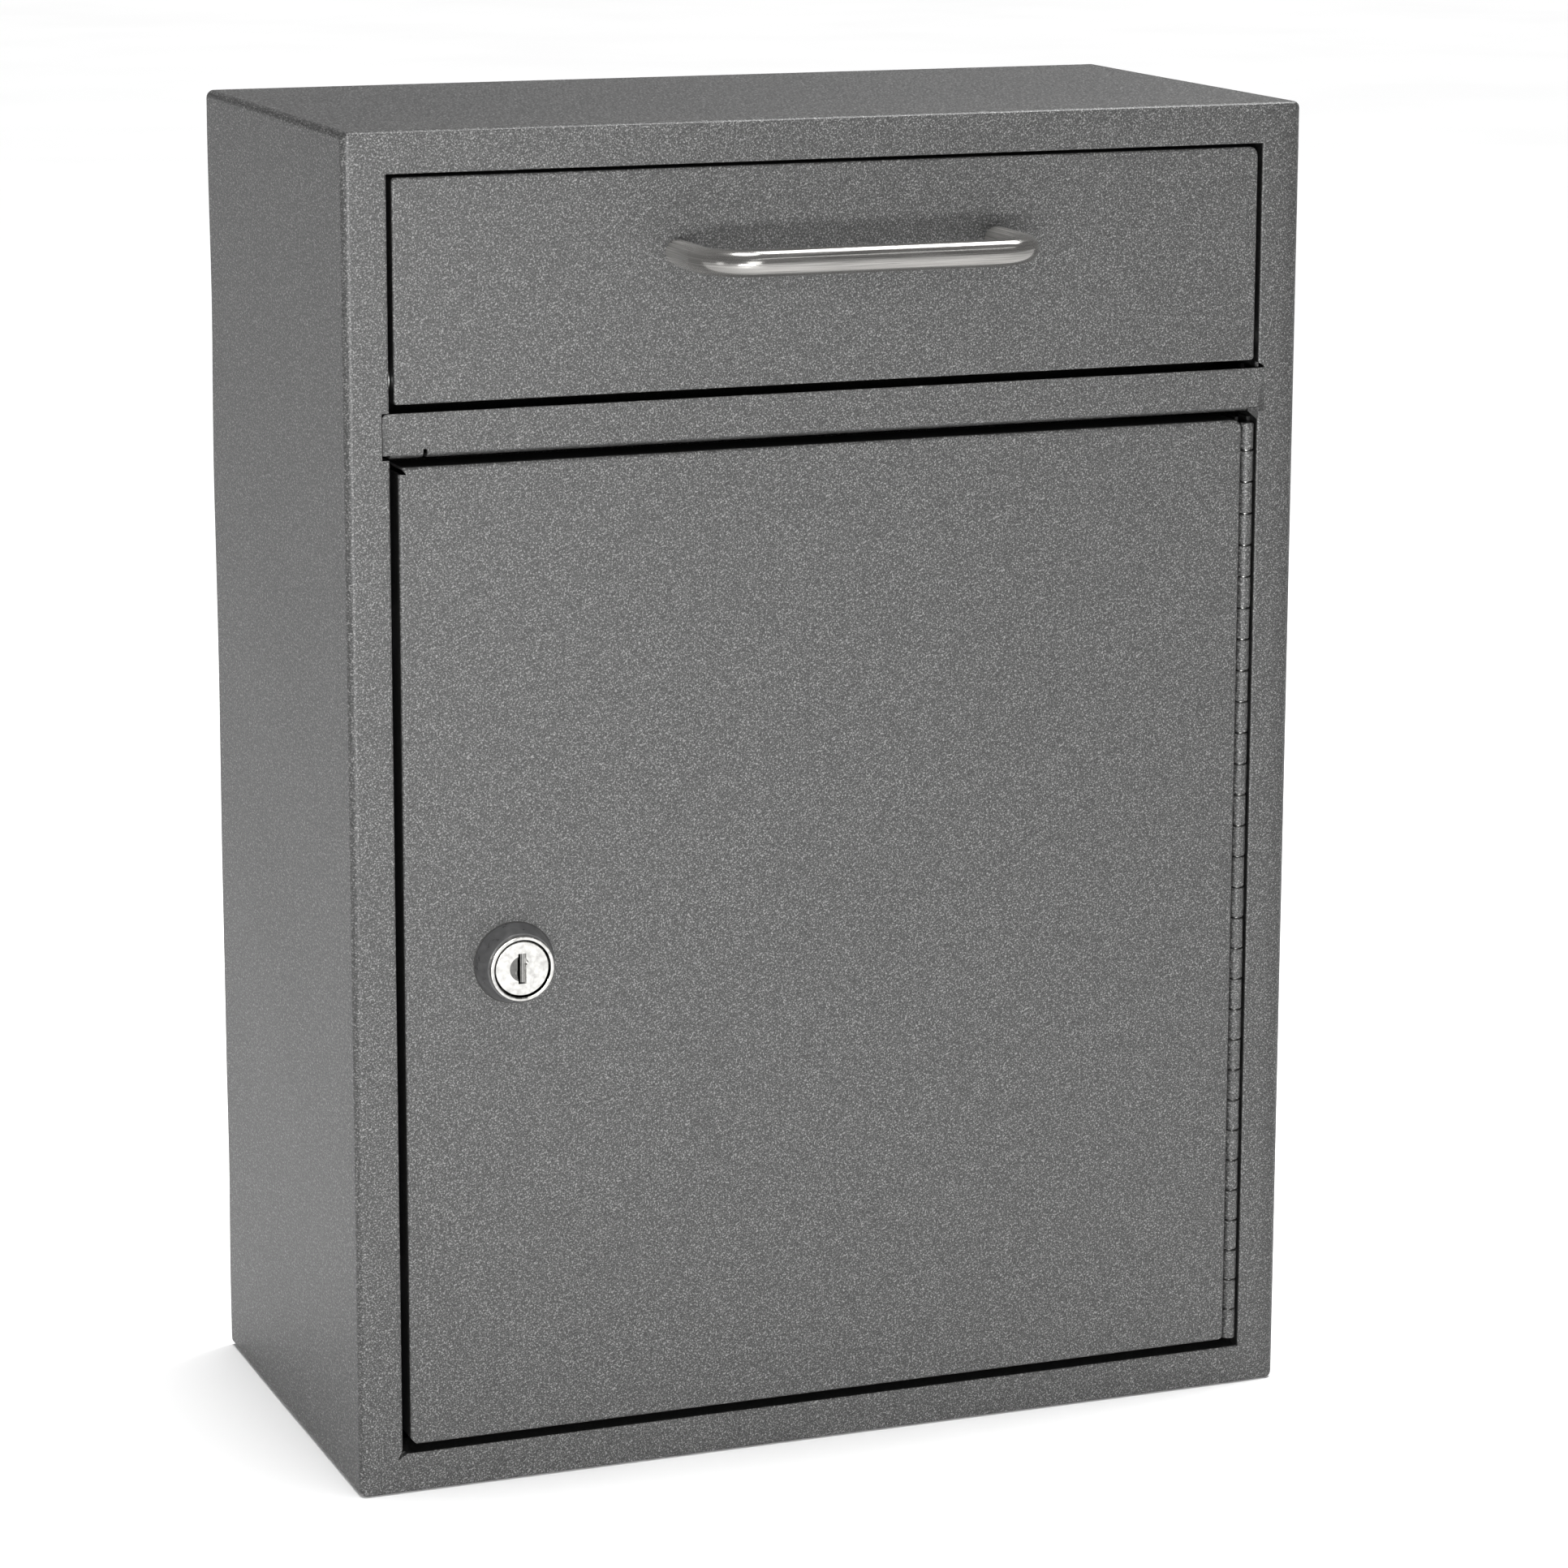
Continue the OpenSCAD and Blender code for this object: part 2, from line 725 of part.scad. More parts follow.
// Screw that holds the cam on the plug's tail
module cam_screw() {
    seat = cam_y + cam_t + cam_washer_t;
    color(zinc) difference() {
        union() {
            rod_y(lock_x, lock_z, cam_screw_r, cam_y - cam_screw_bite + past, seat);
            rod_y(lock_x, lock_z, cam_screw_head_r, seat, seat + cam_screw_head_t);
        }
        cross_recess(lock_x, seat + cam_screw_head_t, lock_z);
    }
}

cabinet_shell();
back_panel();
cross_rail();
chute_guard();
hopper_stop_tabs();
hopper_bumpers();
door_stop_tabs();
door_bumpers();
hinge_frame_leaf();
hinge_pin();
pivot_pins();
pivot_spacers();
hopper_panel();
hopper_tray();
pull_handle();
handle_screws();
handle_washers();
door_panel();
hinge_door_leaf();
lock_collar();
lock_housing();
lock_washer();
lock_nut();
lock_plug();
lock_cam();
cam_washer();
cam_screw();
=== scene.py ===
import json
import math
import bmesh
import bpy
from mathutils import Matrix, Vector, noise


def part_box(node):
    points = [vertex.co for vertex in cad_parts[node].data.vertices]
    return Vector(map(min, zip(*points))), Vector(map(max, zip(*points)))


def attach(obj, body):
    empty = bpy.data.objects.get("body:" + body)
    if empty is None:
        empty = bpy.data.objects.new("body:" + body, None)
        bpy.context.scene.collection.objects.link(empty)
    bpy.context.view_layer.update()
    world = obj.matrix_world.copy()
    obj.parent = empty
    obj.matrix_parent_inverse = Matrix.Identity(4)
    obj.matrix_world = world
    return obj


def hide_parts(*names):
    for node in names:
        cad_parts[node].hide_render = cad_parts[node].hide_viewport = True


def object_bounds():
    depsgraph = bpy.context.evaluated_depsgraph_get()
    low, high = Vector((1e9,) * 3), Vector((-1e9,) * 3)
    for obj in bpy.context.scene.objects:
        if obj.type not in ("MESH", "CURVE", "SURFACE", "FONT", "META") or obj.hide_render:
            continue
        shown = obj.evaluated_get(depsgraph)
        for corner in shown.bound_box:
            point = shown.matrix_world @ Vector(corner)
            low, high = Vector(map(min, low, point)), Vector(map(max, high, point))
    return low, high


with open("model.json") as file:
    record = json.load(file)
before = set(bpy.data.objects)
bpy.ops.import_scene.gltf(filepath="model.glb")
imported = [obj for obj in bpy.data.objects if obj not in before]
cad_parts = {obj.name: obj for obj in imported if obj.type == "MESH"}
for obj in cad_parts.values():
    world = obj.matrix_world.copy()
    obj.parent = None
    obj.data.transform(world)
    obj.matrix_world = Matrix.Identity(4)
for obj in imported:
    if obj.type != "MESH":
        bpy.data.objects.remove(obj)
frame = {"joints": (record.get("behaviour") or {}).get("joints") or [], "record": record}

# ---- Studio ----
# The box stands on a wide pale floor. Soft boxes light it from the low left, the front and above. The
# room is dark above the horizon and pale overhead, so that bright metal has something to show.
cad_low, cad_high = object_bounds()


def surface(name, colour, roughness, metallic=0.0):
    """A new finish with one colour, ready for its pattern."""
    finish = bpy.data.materials.new(name)
    finish.use_nodes = True
    shader = finish.node_tree.nodes["Principled BSDF"]
    shader.inputs["Base Color"].default_value = (*colour, 1)
    shader.inputs["Roughness"].default_value = roughness
    shader.inputs["Metallic"].default_value = metallic
    return finish


def speckle(finish, size, detail=2.0, stretch=(1, 1, 1), along=None):
    """A noise pattern with grains of this size; along names a point attribute to use as its coordinates."""
    tree = finish.node_tree
    if along:
        place = tree.nodes.new("ShaderNodeAttribute")
        place.attribute_name = along
        spot = place.outputs["Vector"]
    else:
        spot = tree.nodes.new("ShaderNodeTexCoord").outputs["Object"]
    scale = tree.nodes.new("ShaderNodeMapping")
    scale.inputs["Scale"].default_value = [part / size for part in stretch]
    scale.inputs["Rotation"].default_value = (0.6, 0.4, 0.2)
    pattern = tree.nodes.new("ShaderNodeTexNoise")
    pattern.inputs["Scale"].default_value = 1
    pattern.inputs["Detail"].default_value = detail
    tree.links.new(spot, scale.inputs["Vector"])
    tree.links.new(scale.outputs["Vector"], pattern.inputs["Vector"])
    return pattern.outputs["Fac"]


def tint(finish, pattern, stops):
    """Colours the finish by a pattern; each stop is a place in the pattern and a colour."""
    tree = finish.node_tree
    ramp = tree.nodes.new("ShaderNodeValToRGB")
    edge = ramp.color_ramp.elements
    while len(edge) < len(stops):
        edge.new(1)
    for element, (place, colour) in zip(edge, stops):
        element.position = place
        element.color = (*colour, 1)
    tree.links.new(pattern, ramp.inputs["Fac"])
    tree.links.new(ramp.outputs["Color"], tree.nodes["Principled BSDF"].inputs["Base Color"])
    return ramp


floor_half = 40
pale_floor = surface("pale_floor", (0.93, 0.93, 0.93), 0.7)
tint(pale_floor, speckle(pale_floor, 0.3), [(0.3, (0.92, 0.92, 0.92)), (0.7, (0.95, 0.95, 0.95))])
floor_mesh = bpy.data.meshes.new("floor")
floor_mesh.from_pydata([(x * floor_half, y * floor_half, cad_low.z)
                        for x, y in ((-1, -1), (1, -1), (1, 1), (-1, 1))], [], [(0, 1, 2, 3)])
floor_mesh.materials.append(pale_floor)
floor = bpy.data.objects.new("floor", floor_mesh)
bpy.context.scene.collection.objects.link(floor)

room = bpy.data.worlds.new("room")
room.use_nodes = True
bpy.context.scene.world = room
heading = room.node_tree.nodes.new("ShaderNodeTexCoord")
height = room.node_tree.nodes.new("ShaderNodeSeparateXYZ")
sky = room.node_tree.nodes.new("ShaderNodeValToRGB")
sky_stops = ((0.0, 0.90), (0.05, 0.30), (0.3, 0.20), (0.5, 0.14), (0.85, 0.14), (1.0, 0.60))
while len(sky.color_ramp.elements) < len(sky_stops):
    sky.color_ramp.elements.new(1)
for element, (rise, light) in zip(sky.color_ramp.elements, sky_stops):
    element.position = rise
    element.color = (light, light, light, 1)
room.node_tree.links.new(heading.outputs["Generated"], height.inputs["Vector"])
room.node_tree.links.new(height.outputs["Z"], sky.inputs["Fac"])
room.node_tree.links.new(sky.outputs["Color"], room.node_tree.nodes["Background"].inputs["Color"])
room.node_tree.nodes["Background"].inputs["Strength"].default_value = 1.0


def soft_box(name, place, aim, width, depth, power):
    """A rectangular studio light at a place, turned to face a point."""
    lamp = bpy.data.lights.new(name, "AREA")
    lamp.shape = "RECTANGLE"
    lamp.size = width
    lamp.size_y = depth
    lamp.energy = power
    stand = bpy.data.objects.new(name, lamp)
    stand.location = place
    stand.rotation_euler = (Vector(aim) - Vector(place)).to_track_quat("-Z", "Y").to_euler()
    bpy.context.scene.collection.objects.link(stand)


soft_box("low_box", (-0.36, -1.22, 0.05), (0, -0.15, 0.08), 0.45, 0.07, 9.4)
soft_box("left_box", (-1.25, -0.65, 0.2), (0, -0.15, 0.12), 0.3, 0.5, 0.9)
soft_box("front_box", (-0.15, -2.0, 0.5), (0, -0.1, 0), 0.8, 0.8, 10)
soft_box("top_box", (0.6, 0.1, 1.2), (0.05, -0.1, 0.1), 0.6, 0.6, 15)
soft_box("strip_box", (0.55, -1.25, 1.2), (0, -0.15, 0.1), 1.8, 0.10, 2)

# One wide, soft overhead light reaches the whole floor evenly, out to the horizon.
overhead = bpy.data.lights.new("overhead", "SUN")
overhead.energy = 2.9
overhead.angle = math.radians(24)
overhead_stand = bpy.data.objects.new("overhead", overhead)
overhead_stand.location = (0, 0, 3)
bpy.context.scene.collection.objects.link(overhead_stand)

# The camera stands a little above and to the left of the box, at about 1.6 metres.
camera_place = Vector((-0.5454, -1.5159, 0.3382))
camera_yaw = math.radians(-21.145)
camera_pitch = math.radians(11.394)
camera_roll = math.radians(0.144)
lens = bpy.data.cameras.new("camera")
lens.sensor_width = 36
lens.lens = 114.3
lens.shift_y = -0.08
lens.dof.use_dof = False
lens.clip_start = 0.05
lens.clip_end = 200
camera = bpy.data.objects.new("camera", lens)
level = Vector((math.cos(camera_yaw), math.sin(camera_yaw), 0))
ahead = Vector((-math.sin(camera_yaw) * math.cos(camera_pitch),
                math.cos(camera_yaw) * math.cos(camera_pitch), -math.sin(camera_pitch)))
upright = level.cross(ahead)
right = level * math.cos(camera_roll) + upright * math.sin(camera_roll)
up = right.cross(ahead)
camera.matrix_world = Matrix.Translation(camera_place) @ Matrix((right, up, -ahead)).transposed().to_4x4()
bpy.context.scene.collection.objects.link(camera)
bpy.context.scene.camera = camera
bpy.context.scene.view_settings.view_transform = "Standard"

# ---- Case ----
# The case is one blank of 1.2 mm steel folded into a wrapper. Its front edges turn in to make the
# frame and turn back again as a lip round the opening, and the whole is powder coated charcoal.
mm = 0.001
sheet = 1.2 * mm
soft = 0.2 * mm
tiny = 0.02 * mm


def bending(steps=6):
    """Angles of a quarter bend, from the side to the face."""
    return [math.radians(90 * step / steps) for step in range(steps + 1)]


def outline(box, inset, corners, y, runs=(1, 1), turns=5):
    """A ring of points in one plane: a rectangle (x0, x1, z0, z1) moved in by inset, with rounded corners.
    The corners go round from the low left, and runs says how often the long and upright sides are divided."""
    x0, x1, z0, z1 = box[0] + inset[0], box[1] - inset[0], box[2] + inset[1], box[3] - inset[1]
    spots = ((x0, z0, 1, 1, 180), (x1, z0, -1, 1, 270), (x1, z1, -1, -1, 0), (x0, z1, 1, -1, 90))
    arcs = []
    for radius, (x, z, across, rise, start) in zip(corners, spots):
        radius = max(radius, tiny)
        turn = [math.radians(start + 90 * step / turns) for step in range(turns + 1)]
        arcs.append([Vector((x + across * radius + radius * math.cos(angle), y,
                             z + rise * radius + radius * math.sin(angle))) for angle in turn])
    ring = []
    for side, arc in enumerate(arcs):
        onward = arcs[(side + 1) % 4][0]
        parts = runs[side % 2]
        ring += arc
        ring += [arc[-1].lerp(onward, part / parts) for part in range(1, parts)]
    return ring


def skin(name, rings, closed=False):
    """A mesh over a run of rings; closed joins the last ring to the first, otherwise both ends are capped."""
    work = bmesh.new()
    rows = [[work.verts.new(point) for point in ring] for ring in rings]
    spans = list(zip(rows, rows[1:]))
    if closed:
        spans.append((rows[-1], rows[0]))
    else:
        work.faces.new(rows[0])
        work.faces.new(reversed(rows[-1]))
    for near, far in spans:
        for i, here in enumerate(near):
            j = (i + 1) % len(near)
            work.faces.new((here, far[i], far[j], near[j]))
    bmesh.ops.remove_doubles(work, verts=work.verts, dist=0.001 * mm)
    bmesh.ops.recalc_face_normals(work, faces=work.faces)
    mesh = bpy.data.meshes.new(name)
    work.to_mesh(mesh)
    work.free()
    piece = bpy.data.objects.new(name, mesh)
    bpy.context.scene.collection.objects.link(piece)
    return piece


def set_in(piece):
    """Makes the piece's modifiers part of its mesh."""
    graph = bpy.context.evaluated_depsgraph_get()
    graph.update()
    mesh = bpy.data.meshes.new_from_object(piece.evaluated_get(graph))
    piece.modifiers.clear()
    piece.data = mesh


def work_on(piece, tools, way="DIFFERENCE"):
    """Cuts the tools out of the piece, or joins them to it, and takes the tools away."""
    for tool in tools:
        step = piece.modifiers.new(way, "BOOLEAN")
        step.operation = way
        step.solver = "EXACT"
        step.object = tool
    set_in(piece)
    for tool in tools:
        bpy.data.objects.remove(tool)
    return piece


def prism(name, shape, axis, start, end, edge=0.0):
    """A closed outline drawn along an axis, with its end edges softened.
    The outline's pairs are y, z along x; x, z along y; and x, y along z."""
    points = [Vector(pair) for pair in shape]
    twice = sum(a.x * b.y - b.x * a.y for a, b in zip(points, points[1:] + points[:1]))
    hand = 1 if twice > 0 else -1
    drawn_in = []
    for i, here in enumerate(points):
        before = (here - points[i - 1]).normalized()
        after = (points[(i + 1) % len(points)] - here).normalized()
        first = Vector((-before.y, before.x)) * hand
        second = Vector((-after.y, after.x)) * hand
        drawn_in.append(here + (first + second) * edge / max(1 + first.dot(second), 0.2))
    put = {"x": lambda p, s: (s, p.x, p.y),
           "y": lambda p, s: (p.x, s, p.y),
           "z": lambda p, s: (p.x, p.y, s)}[axis]
    rows = [(points, start), (points, end)]
    if edge:
        rows = [(drawn_in, start), (points, start + edge), (points, end - edge), (drawn_in, end)]
    return skin(name, [[put(point, place) for point in row] for row, place in rows])


def block(low, high, edge=0.0):
    """A block between two corners, such as a cutter or a plain plate."""
    shape = [(low[0], low[1]), (high[0], low[1]), (high[0], high[1]), (low[0], high[1])]
    return prism("block", shape, "z", low[2], high[2], edge)


def fit(piece, body, finish, slot, *nodes, crease=35):
    """Shades a finished mesh, gives it its finish and puts it on its body in place of its plain shapes."""
    piece.data.materials.clear()
    piece.data.materials.append(finish)
    piece.data.shade_smooth()
    piece.data.set_sharp_from_angle(angle=math.radians(crease))
    even = piece.modifiers.new("even shading", "WEIGHTED_NORMAL")
    even.keep_sharp = True
    set_in(piece)
    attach(piece, body)
    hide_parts(*nodes)
    return piece


def spring_of_sheet(point, front):
    """How far the sheet is out of true at a point: the wide side walls have sprung a little behind the
    frame, and the right jamb's outer half falls back."""
    if point.y < front + 2 * mm:
        return Vector((0, 0.5 * mm * min(max((point.x - 145 * mm) / (7.5 * mm), 0), 1), 0))
    away = min(max((point.y - front - 18 * mm) / (70 * mm), 0), 1)
    side = 1 if point.x > 0 else -1
    wave = noise.noise(Vector((side * 3.1, point.y / (90 * mm), point.z / (55 * mm))))
    if abs(point.x) > 145 * mm:
        return Vector((0.5 * mm * wave * away, 0, 0))
    return Vector((0, 0, 0))


def shade_folds(piece, box, fade=None):
    """Marks the folds that face a narrow gap, for painted shade; fade adds a mark by place."""
    mark = piece.data.attributes.new("seam_and_fold_shade", "FLOAT", "POINT")
    for vertex in piece.data.vertices:
        x, y, z = vertex.co
        close = min(abs(x - box[0]), abs(x - box[1]), abs(z - box[2]), abs(z - box[3]))
        mark.data[vertex.index].value = float(close < 0.3 * mm and y > front + 0.4 * mm)
        if fade and fade(vertex.co):
            mark.data[vertex.index].value = fade(vertex.co)


def emboss(finish, pattern, depth, strength=1.0):
    """Raises and lowers the surface with a pattern, on top of any embossing that it has."""
    tree = finish.node_tree
    normal = tree.nodes["Principled BSDF"].inputs["Normal"]
    bump = tree.nodes.new("ShaderNodeBump")
    bump.inputs["Distance"].default_value = depth
    bump.inputs["Strength"].default_value = strength
    if normal.is_linked:
        tree.links.new(normal.links[0].from_socket, bump.inputs["Normal"])
    tree.links.new(pattern, bump.inputs["Height"])
    tree.links.new(bump.outputs["Normal"], normal)


def paint_shade(finish, ramp, mark, least):
    """Paints shade into a finish's colour where a point attribute marks it, down to this part of its colour.
    """
    tree = finish.node_tree
    amount = tree.nodes.new("ShaderNodeAttribute")
    amount.attribute_name = mark
    light_share = tree.nodes.new("ShaderNodeMapRange")
    light_share.inputs["To Min"].default_value = 1
    light_share.inputs["To Max"].default_value = least
    tree.links.new(amount.outputs["Fac"], light_share.inputs["Value"])
    shaded_colour = tree.nodes.new("ShaderNodeVectorMath")
    shaded_colour.operation = "SCALE"
    tree.links.new(ramp.outputs["Color"], shaded_colour.inputs[0])
    tree.links.new(light_share.outputs["Result"], shaded_colour.inputs["Scale"])
    tree.links.new(shaded_colour.outputs["Vector"], tree.nodes["Principled BSDF"].inputs["Base Color"])


# The coat's speckle is partly its own grain and partly painted glints: its brightest flecks stand in for
# light caught on the grain's bumps.
charcoal = surface("charcoal_powder_coat", (0.065, 0.065, 0.065), 0.48)
grain_and_glints = speckle(charcoal, 0.45 * mm, 1.5, (1, 0.42, 1))
coat = tint(charcoal, grain_and_glints, [(0.34, (0.016, 0.016, 0.016)), (0.47, (0.034, 0.034, 0.0335)),
                               (0.58, (0.069, 0.069, 0.068)), (0.68, (0.19, 0.19, 0.187))])
# Painted shade: the charcoal is darkened where pieces mark their folds by the gaps.
paint_shade(charcoal, coat, "seam_and_fold_shade", 0.12)
emboss(charcoal, grain_and_glints, 0.06 * mm, 0.5)

case_low, case_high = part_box("cabinet_shell")
front, wall = case_low.y, case_high.y
case_box = (case_low.x, case_high.x, case_low.z, case_high.z)
case_bend = 2.4 * mm
edge_bend = 0.9 * mm
jamb = 13.3 * mm
head = 12.5 * mm
lip = 14 * mm
jamb_bend = 0.8 * mm
head_bend = 0.5 * mm
case_runs = (24, 32)
fall = 7.5 * mm

opening_box = (case_box[0] + jamb, case_box[1] - jamb, case_box[2] + head, case_box[3] - head)
rail_low, rail_high = (corner.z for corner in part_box("cross_rail"))
rail_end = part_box("cross_rail")[1].x
left_seam = 0.22 * mm
right_seam = 0.03 * mm


def case_ring(across, rise, y, corner):
    """One ring of the case, moved in from its sides by across and from its top and base by rise."""
    return outline(case_box, (across, rise), (corner,) * 4, y, case_runs)


case_rings = [case_ring(soft, soft, wall, case_bend - soft)]
depth_steps = 14
for step in range(depth_steps + 1):
    run = (wall - soft) - (front + case_bend)
    case_rings.append(case_ring(0, 0, wall - soft - run * step / depth_steps, case_bend))
for angle in bending()[1:]:
    inset = case_bend * (1 - math.cos(angle))
    rise = edge_bend * (1 - math.cos(angle))
    case_rings.append(case_ring(inset, rise, front + case_bend * (1 - math.sin(angle)), case_bend - inset))
case_rings.append(case_ring(fall, fall, front, tiny))
for angle in bending():
    short = 1 - math.sin(angle)
    case_rings.append(case_ring(jamb - jamb_bend * short, head - head_bend * short,
                                front + jamb_bend * (1 - math.cos(angle)), tiny))
for inset, y in ((0, front + lip - soft), (soft, front + lip), (sheet - soft, front + lip),
                 (sheet, front + lip - soft), (sheet, front + sheet)):
    case_rings.append(case_ring(jamb - inset, head - inset, y, tiny))
inner_bend = case_bend - sheet
for angle in reversed(bending()):
    inset = sheet + inner_bend * (1 - math.cos(angle))
    rise = sheet + 0.1 * mm * (1 - math.cos(angle))
    case_rings.append(case_ring(inset, rise, front + sheet + inner_bend * (1 - math.sin(angle)),
                                inner_bend - inset + sheet))
for step in range(1, depth_steps + 1):
    run = (wall - soft) - (front + case_bend)
    case_rings.append(case_ring(sheet, sheet, front + case_bend + run * step / depth_steps, inner_bend))
case_rings.append(case_ring(sheet - soft, sheet - soft, wall, inner_bend + soft))
case_rings = [[point + spring_of_sheet(point, front) for point in ring] for ring in case_rings]
case = skin("case", case_rings, closed=True)

rail_fold = 12 * mm
notch_rise = 2.4 * mm
pivots_low, pivots_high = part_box("pivot_pins")
pivot_y = (pivots_low.y + pivots_high.y) / 2
pivot_z = (pivots_low.z + pivots_high.z) / 2
pivot_hole_r = 2.55 * mm
pivot_hole = [(pivot_y + pivot_hole_r * math.cos(math.radians(15 * k)),
               pivot_z + pivot_hole_r * math.sin(math.radians(15 * k))) for k in range(24)]
cutters = []
for side in (-1, 1):
    seam_and_fold_shade = left_seam if side < 0 else right_seam
    ends = sorted((side * (rail_end + seam_and_fold_shade), side * (opening_box[1] - mm)))
    cutters.append(block((ends[0], front - mm, rail_low - seam_and_fold_shade),
                         (ends[1], front + rail_fold, rail_high + seam_and_fold_shade)))
    ends = sorted((side * (opening_box[1] - mm), side * (opening_box[1] + 2 * mm)))
    cutters.append(prism("hole", pivot_hole, "x", *ends))
# Above the rail's right end the notch was cut long and comes to a point.
cutters.append(prism("notch", [(opening_box[1] - mm, rail_high), (rail_end, rail_high - 0.5 * mm),
                               (rail_end, rail_high + 0.6 * mm),
                               (opening_box[1] - mm, rail_high + notch_rise)],
                     "y", front - mm, front + sheet + mm))
# A slit is left open where the frame's two turned edges meet at the low left corner.
reach = Vector((-2.0 * mm, -2.2 * mm))
start = Vector((opening_box[0] + 0.3 * mm, opening_box[2] + 0.3 * mm))
wide = Vector((-0.75 * mm, 0.75 * mm))
cutters.append(prism("slit", [start + wide, start + reach, start - wide - reach * 0.2],
                     "y", front - mm, front + sheet + mm))
work_on(case, cutters)
# Painted shade on the folds that face the opening's gaps, and a lighter painted shade on the right jamb's
# outer band, where less light falls.
shade_folds(case, opening_box, lambda spot: 0.3 * (spot.x > 147 * mm and spot.y < front + 2 * mm))
fit(case, "cabinet", charcoal, "paint", "cabinet_shell")

# ---- Back panel ----
# A shallow pan welded inside the back of the wrapper, flush with its rear edge. Four holes take the
# wall screws, which are driven from inside with the door open.


def pan(name, box, face, rim, bend, corners, runs=(1, 1), shift=None):
    """A pan folded from sheet: a flat face with an edge turned back to the rim on all four sides."""
    way = 1 if rim > face else -1
    inside = max(bend - sheet, 0.3 * mm)
    profile = [(bend * (1 - math.cos(angle)), bend * (1 - math.sin(angle))) for angle in reversed(bending())]
    long = abs(rim - face)
    profile += [(0, long - soft), (soft, long), (sheet - soft, long), (sheet, long - soft)]
    profile += [(sheet + inside * (1 - math.cos(angle)), sheet + inside * (1 - math.sin(angle)))
                for angle in bending()]
    rings = [outline(box, (inset, inset), [corner - inset for corner in corners], face + way * deep, runs)
             for inset, deep in profile]
    if shift:
        rings = [[point + shift(point, front) for point in ring] for ring in rings]
    return skin(name, rings)


def round_hole(x, z, radius, start, end, steps=32):
    """A cutter for a drilled hole from front to back."""
    turn = [math.tau * step / steps for step in range(steps)]
    round_shape = [(x + radius * math.cos(a), z + radius * math.sin(a)) for a in turn]
    return prism("hole", round_shape, "y", start, end)


back_low, back_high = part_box("back_panel")
bolts = next(mount for mount in frame["record"]["mounts"] if mount["name"] == "wall_bolts")["dims"]
back_bend = 1.4 * mm
back = pan("back_plate", (back_low.x, back_high.x, back_low.z, back_high.z), back_high.y, back_low.y,
           back_bend, (back_bend,) * 4, case_runs, spring_of_sheet)
work_on(back, [round_hole(x * bolts["spacing_x_mm"] / 2 * mm, z * bolts["spacing_y_mm"] / 2 * mm,
                          bolts["hole_r_mm"] * mm, -5 * mm, mm) for x in (-1, 1) for z in (-1, 1)])
fit(back, "cabinet", charcoal, "paint", "back_panel")

# ---- Cross rail ----
# A strip between the hopper and the door, folded back along its lower edge. Its ends are let into
# the jambs and welded, and a small relief is nicked in the fold near the left end.
rail_bend = 2 * mm
rail_back = front + rail_fold
inner = rail_bend - sheet
rail_shape = [(front + soft, rail_high), (front, rail_high - soft)]
rail_shape += [(front + rail_bend * (1 - math.cos(a)), rail_low + rail_bend * (1 - math.sin(a)))
               for a in bending()]
rail_shape += [(rail_back, rail_low), (rail_back, rail_low + sheet)]
rail_shape += [(front + sheet + inner * (1 - math.cos(a)), rail_low + sheet + inner * (1 - math.sin(a)))
               for a in reversed(bending())]
rail_shape += [(front + sheet, rail_high)]
rail_half = opening_box[1] - 0.1 * mm
rail = prism("rail", rail_shape, "x", -rail_half, rail_half)
tongues = []
for side in (-1, 1):
    corner = 1.5 * mm if side < 0 else 0.3 * mm
    foot_z = rail_low + sheet if side < 0 else rail_low + 0.15 * mm
    inner_x, outer_x = side * (rail_half - 0.3 * mm), side * rail_end
    tongue = [(inner_x, foot_z), (outer_x, foot_z)]
    tongue += [(outer_x - side * corner * (1 - math.cos(a)), rail_high - corner * (1 - math.sin(a)))
               for a in bending()]
    tongue += [(inner_x, rail_high)]
    tongues.append(prism("tongue", tongue, "y", front, front + sheet))
# A small web closes the door opening's upper right corner, above the hinge.
web = [(opening_box[1] - 3.2 * mm, rail_low + mm), (opening_box[1] + 0.4 * mm, rail_low + mm),
       (opening_box[1] + 0.4 * mm, rail_low - 2.9 * mm), (opening_box[1] - 3.2 * mm, rail_low + 0.1 * mm)]
tongues.append(prism("web", web, "y", front + 0.1 * mm, front + sheet))
work_on(rail, tongues, "UNION")
nick = opening_box[0] + 10 * mm
work_on(rail, [block((nick, front - mm, rail_low - mm),
                     (nick + 1.3 * mm, rail_back + mm, rail_low + 2.7 * mm))])
# Painted shade on the rail's folds by the gaps, strongest along its lower fold, which faces down into the gap
# over the door.
shade_folds(rail, (-1, 1, rail_low, rail_high), lambda spot: 0.75 * (spot.z < rail_low + 1.3 * mm))
fit(rail, "cabinet", charcoal, "paint", "cross_rail")

# ---- Guard and stops ----
# Inside, a baffle hangs from the top wall behind the raised tray, so that nothing can be fished out.
# Angle tabs with rubber pads stop the hopper and the door level with the frame.
guard_low, guard_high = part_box("chute_guard")
hem = 5 * mm
guard_shape = [(guard_low.y, guard_low.z), (guard_low.y + hem, guard_low.z),
               (guard_low.y + hem, guard_low.z + sheet), (guard_low.y + sheet, guard_low.z + sheet),
               (guard_low.y + sheet, guard_high.z - sheet), (guard_high.y, guard_high.z - sheet),
               (guard_high.y, guard_high.z), (guard_low.y, guard_high.z)]
guard = prism("guard", guard_shape, "x", guard_low.x, guard_high.x, soft)
fit(guard, "cabinet", charcoal, "paint", "chute_guard")

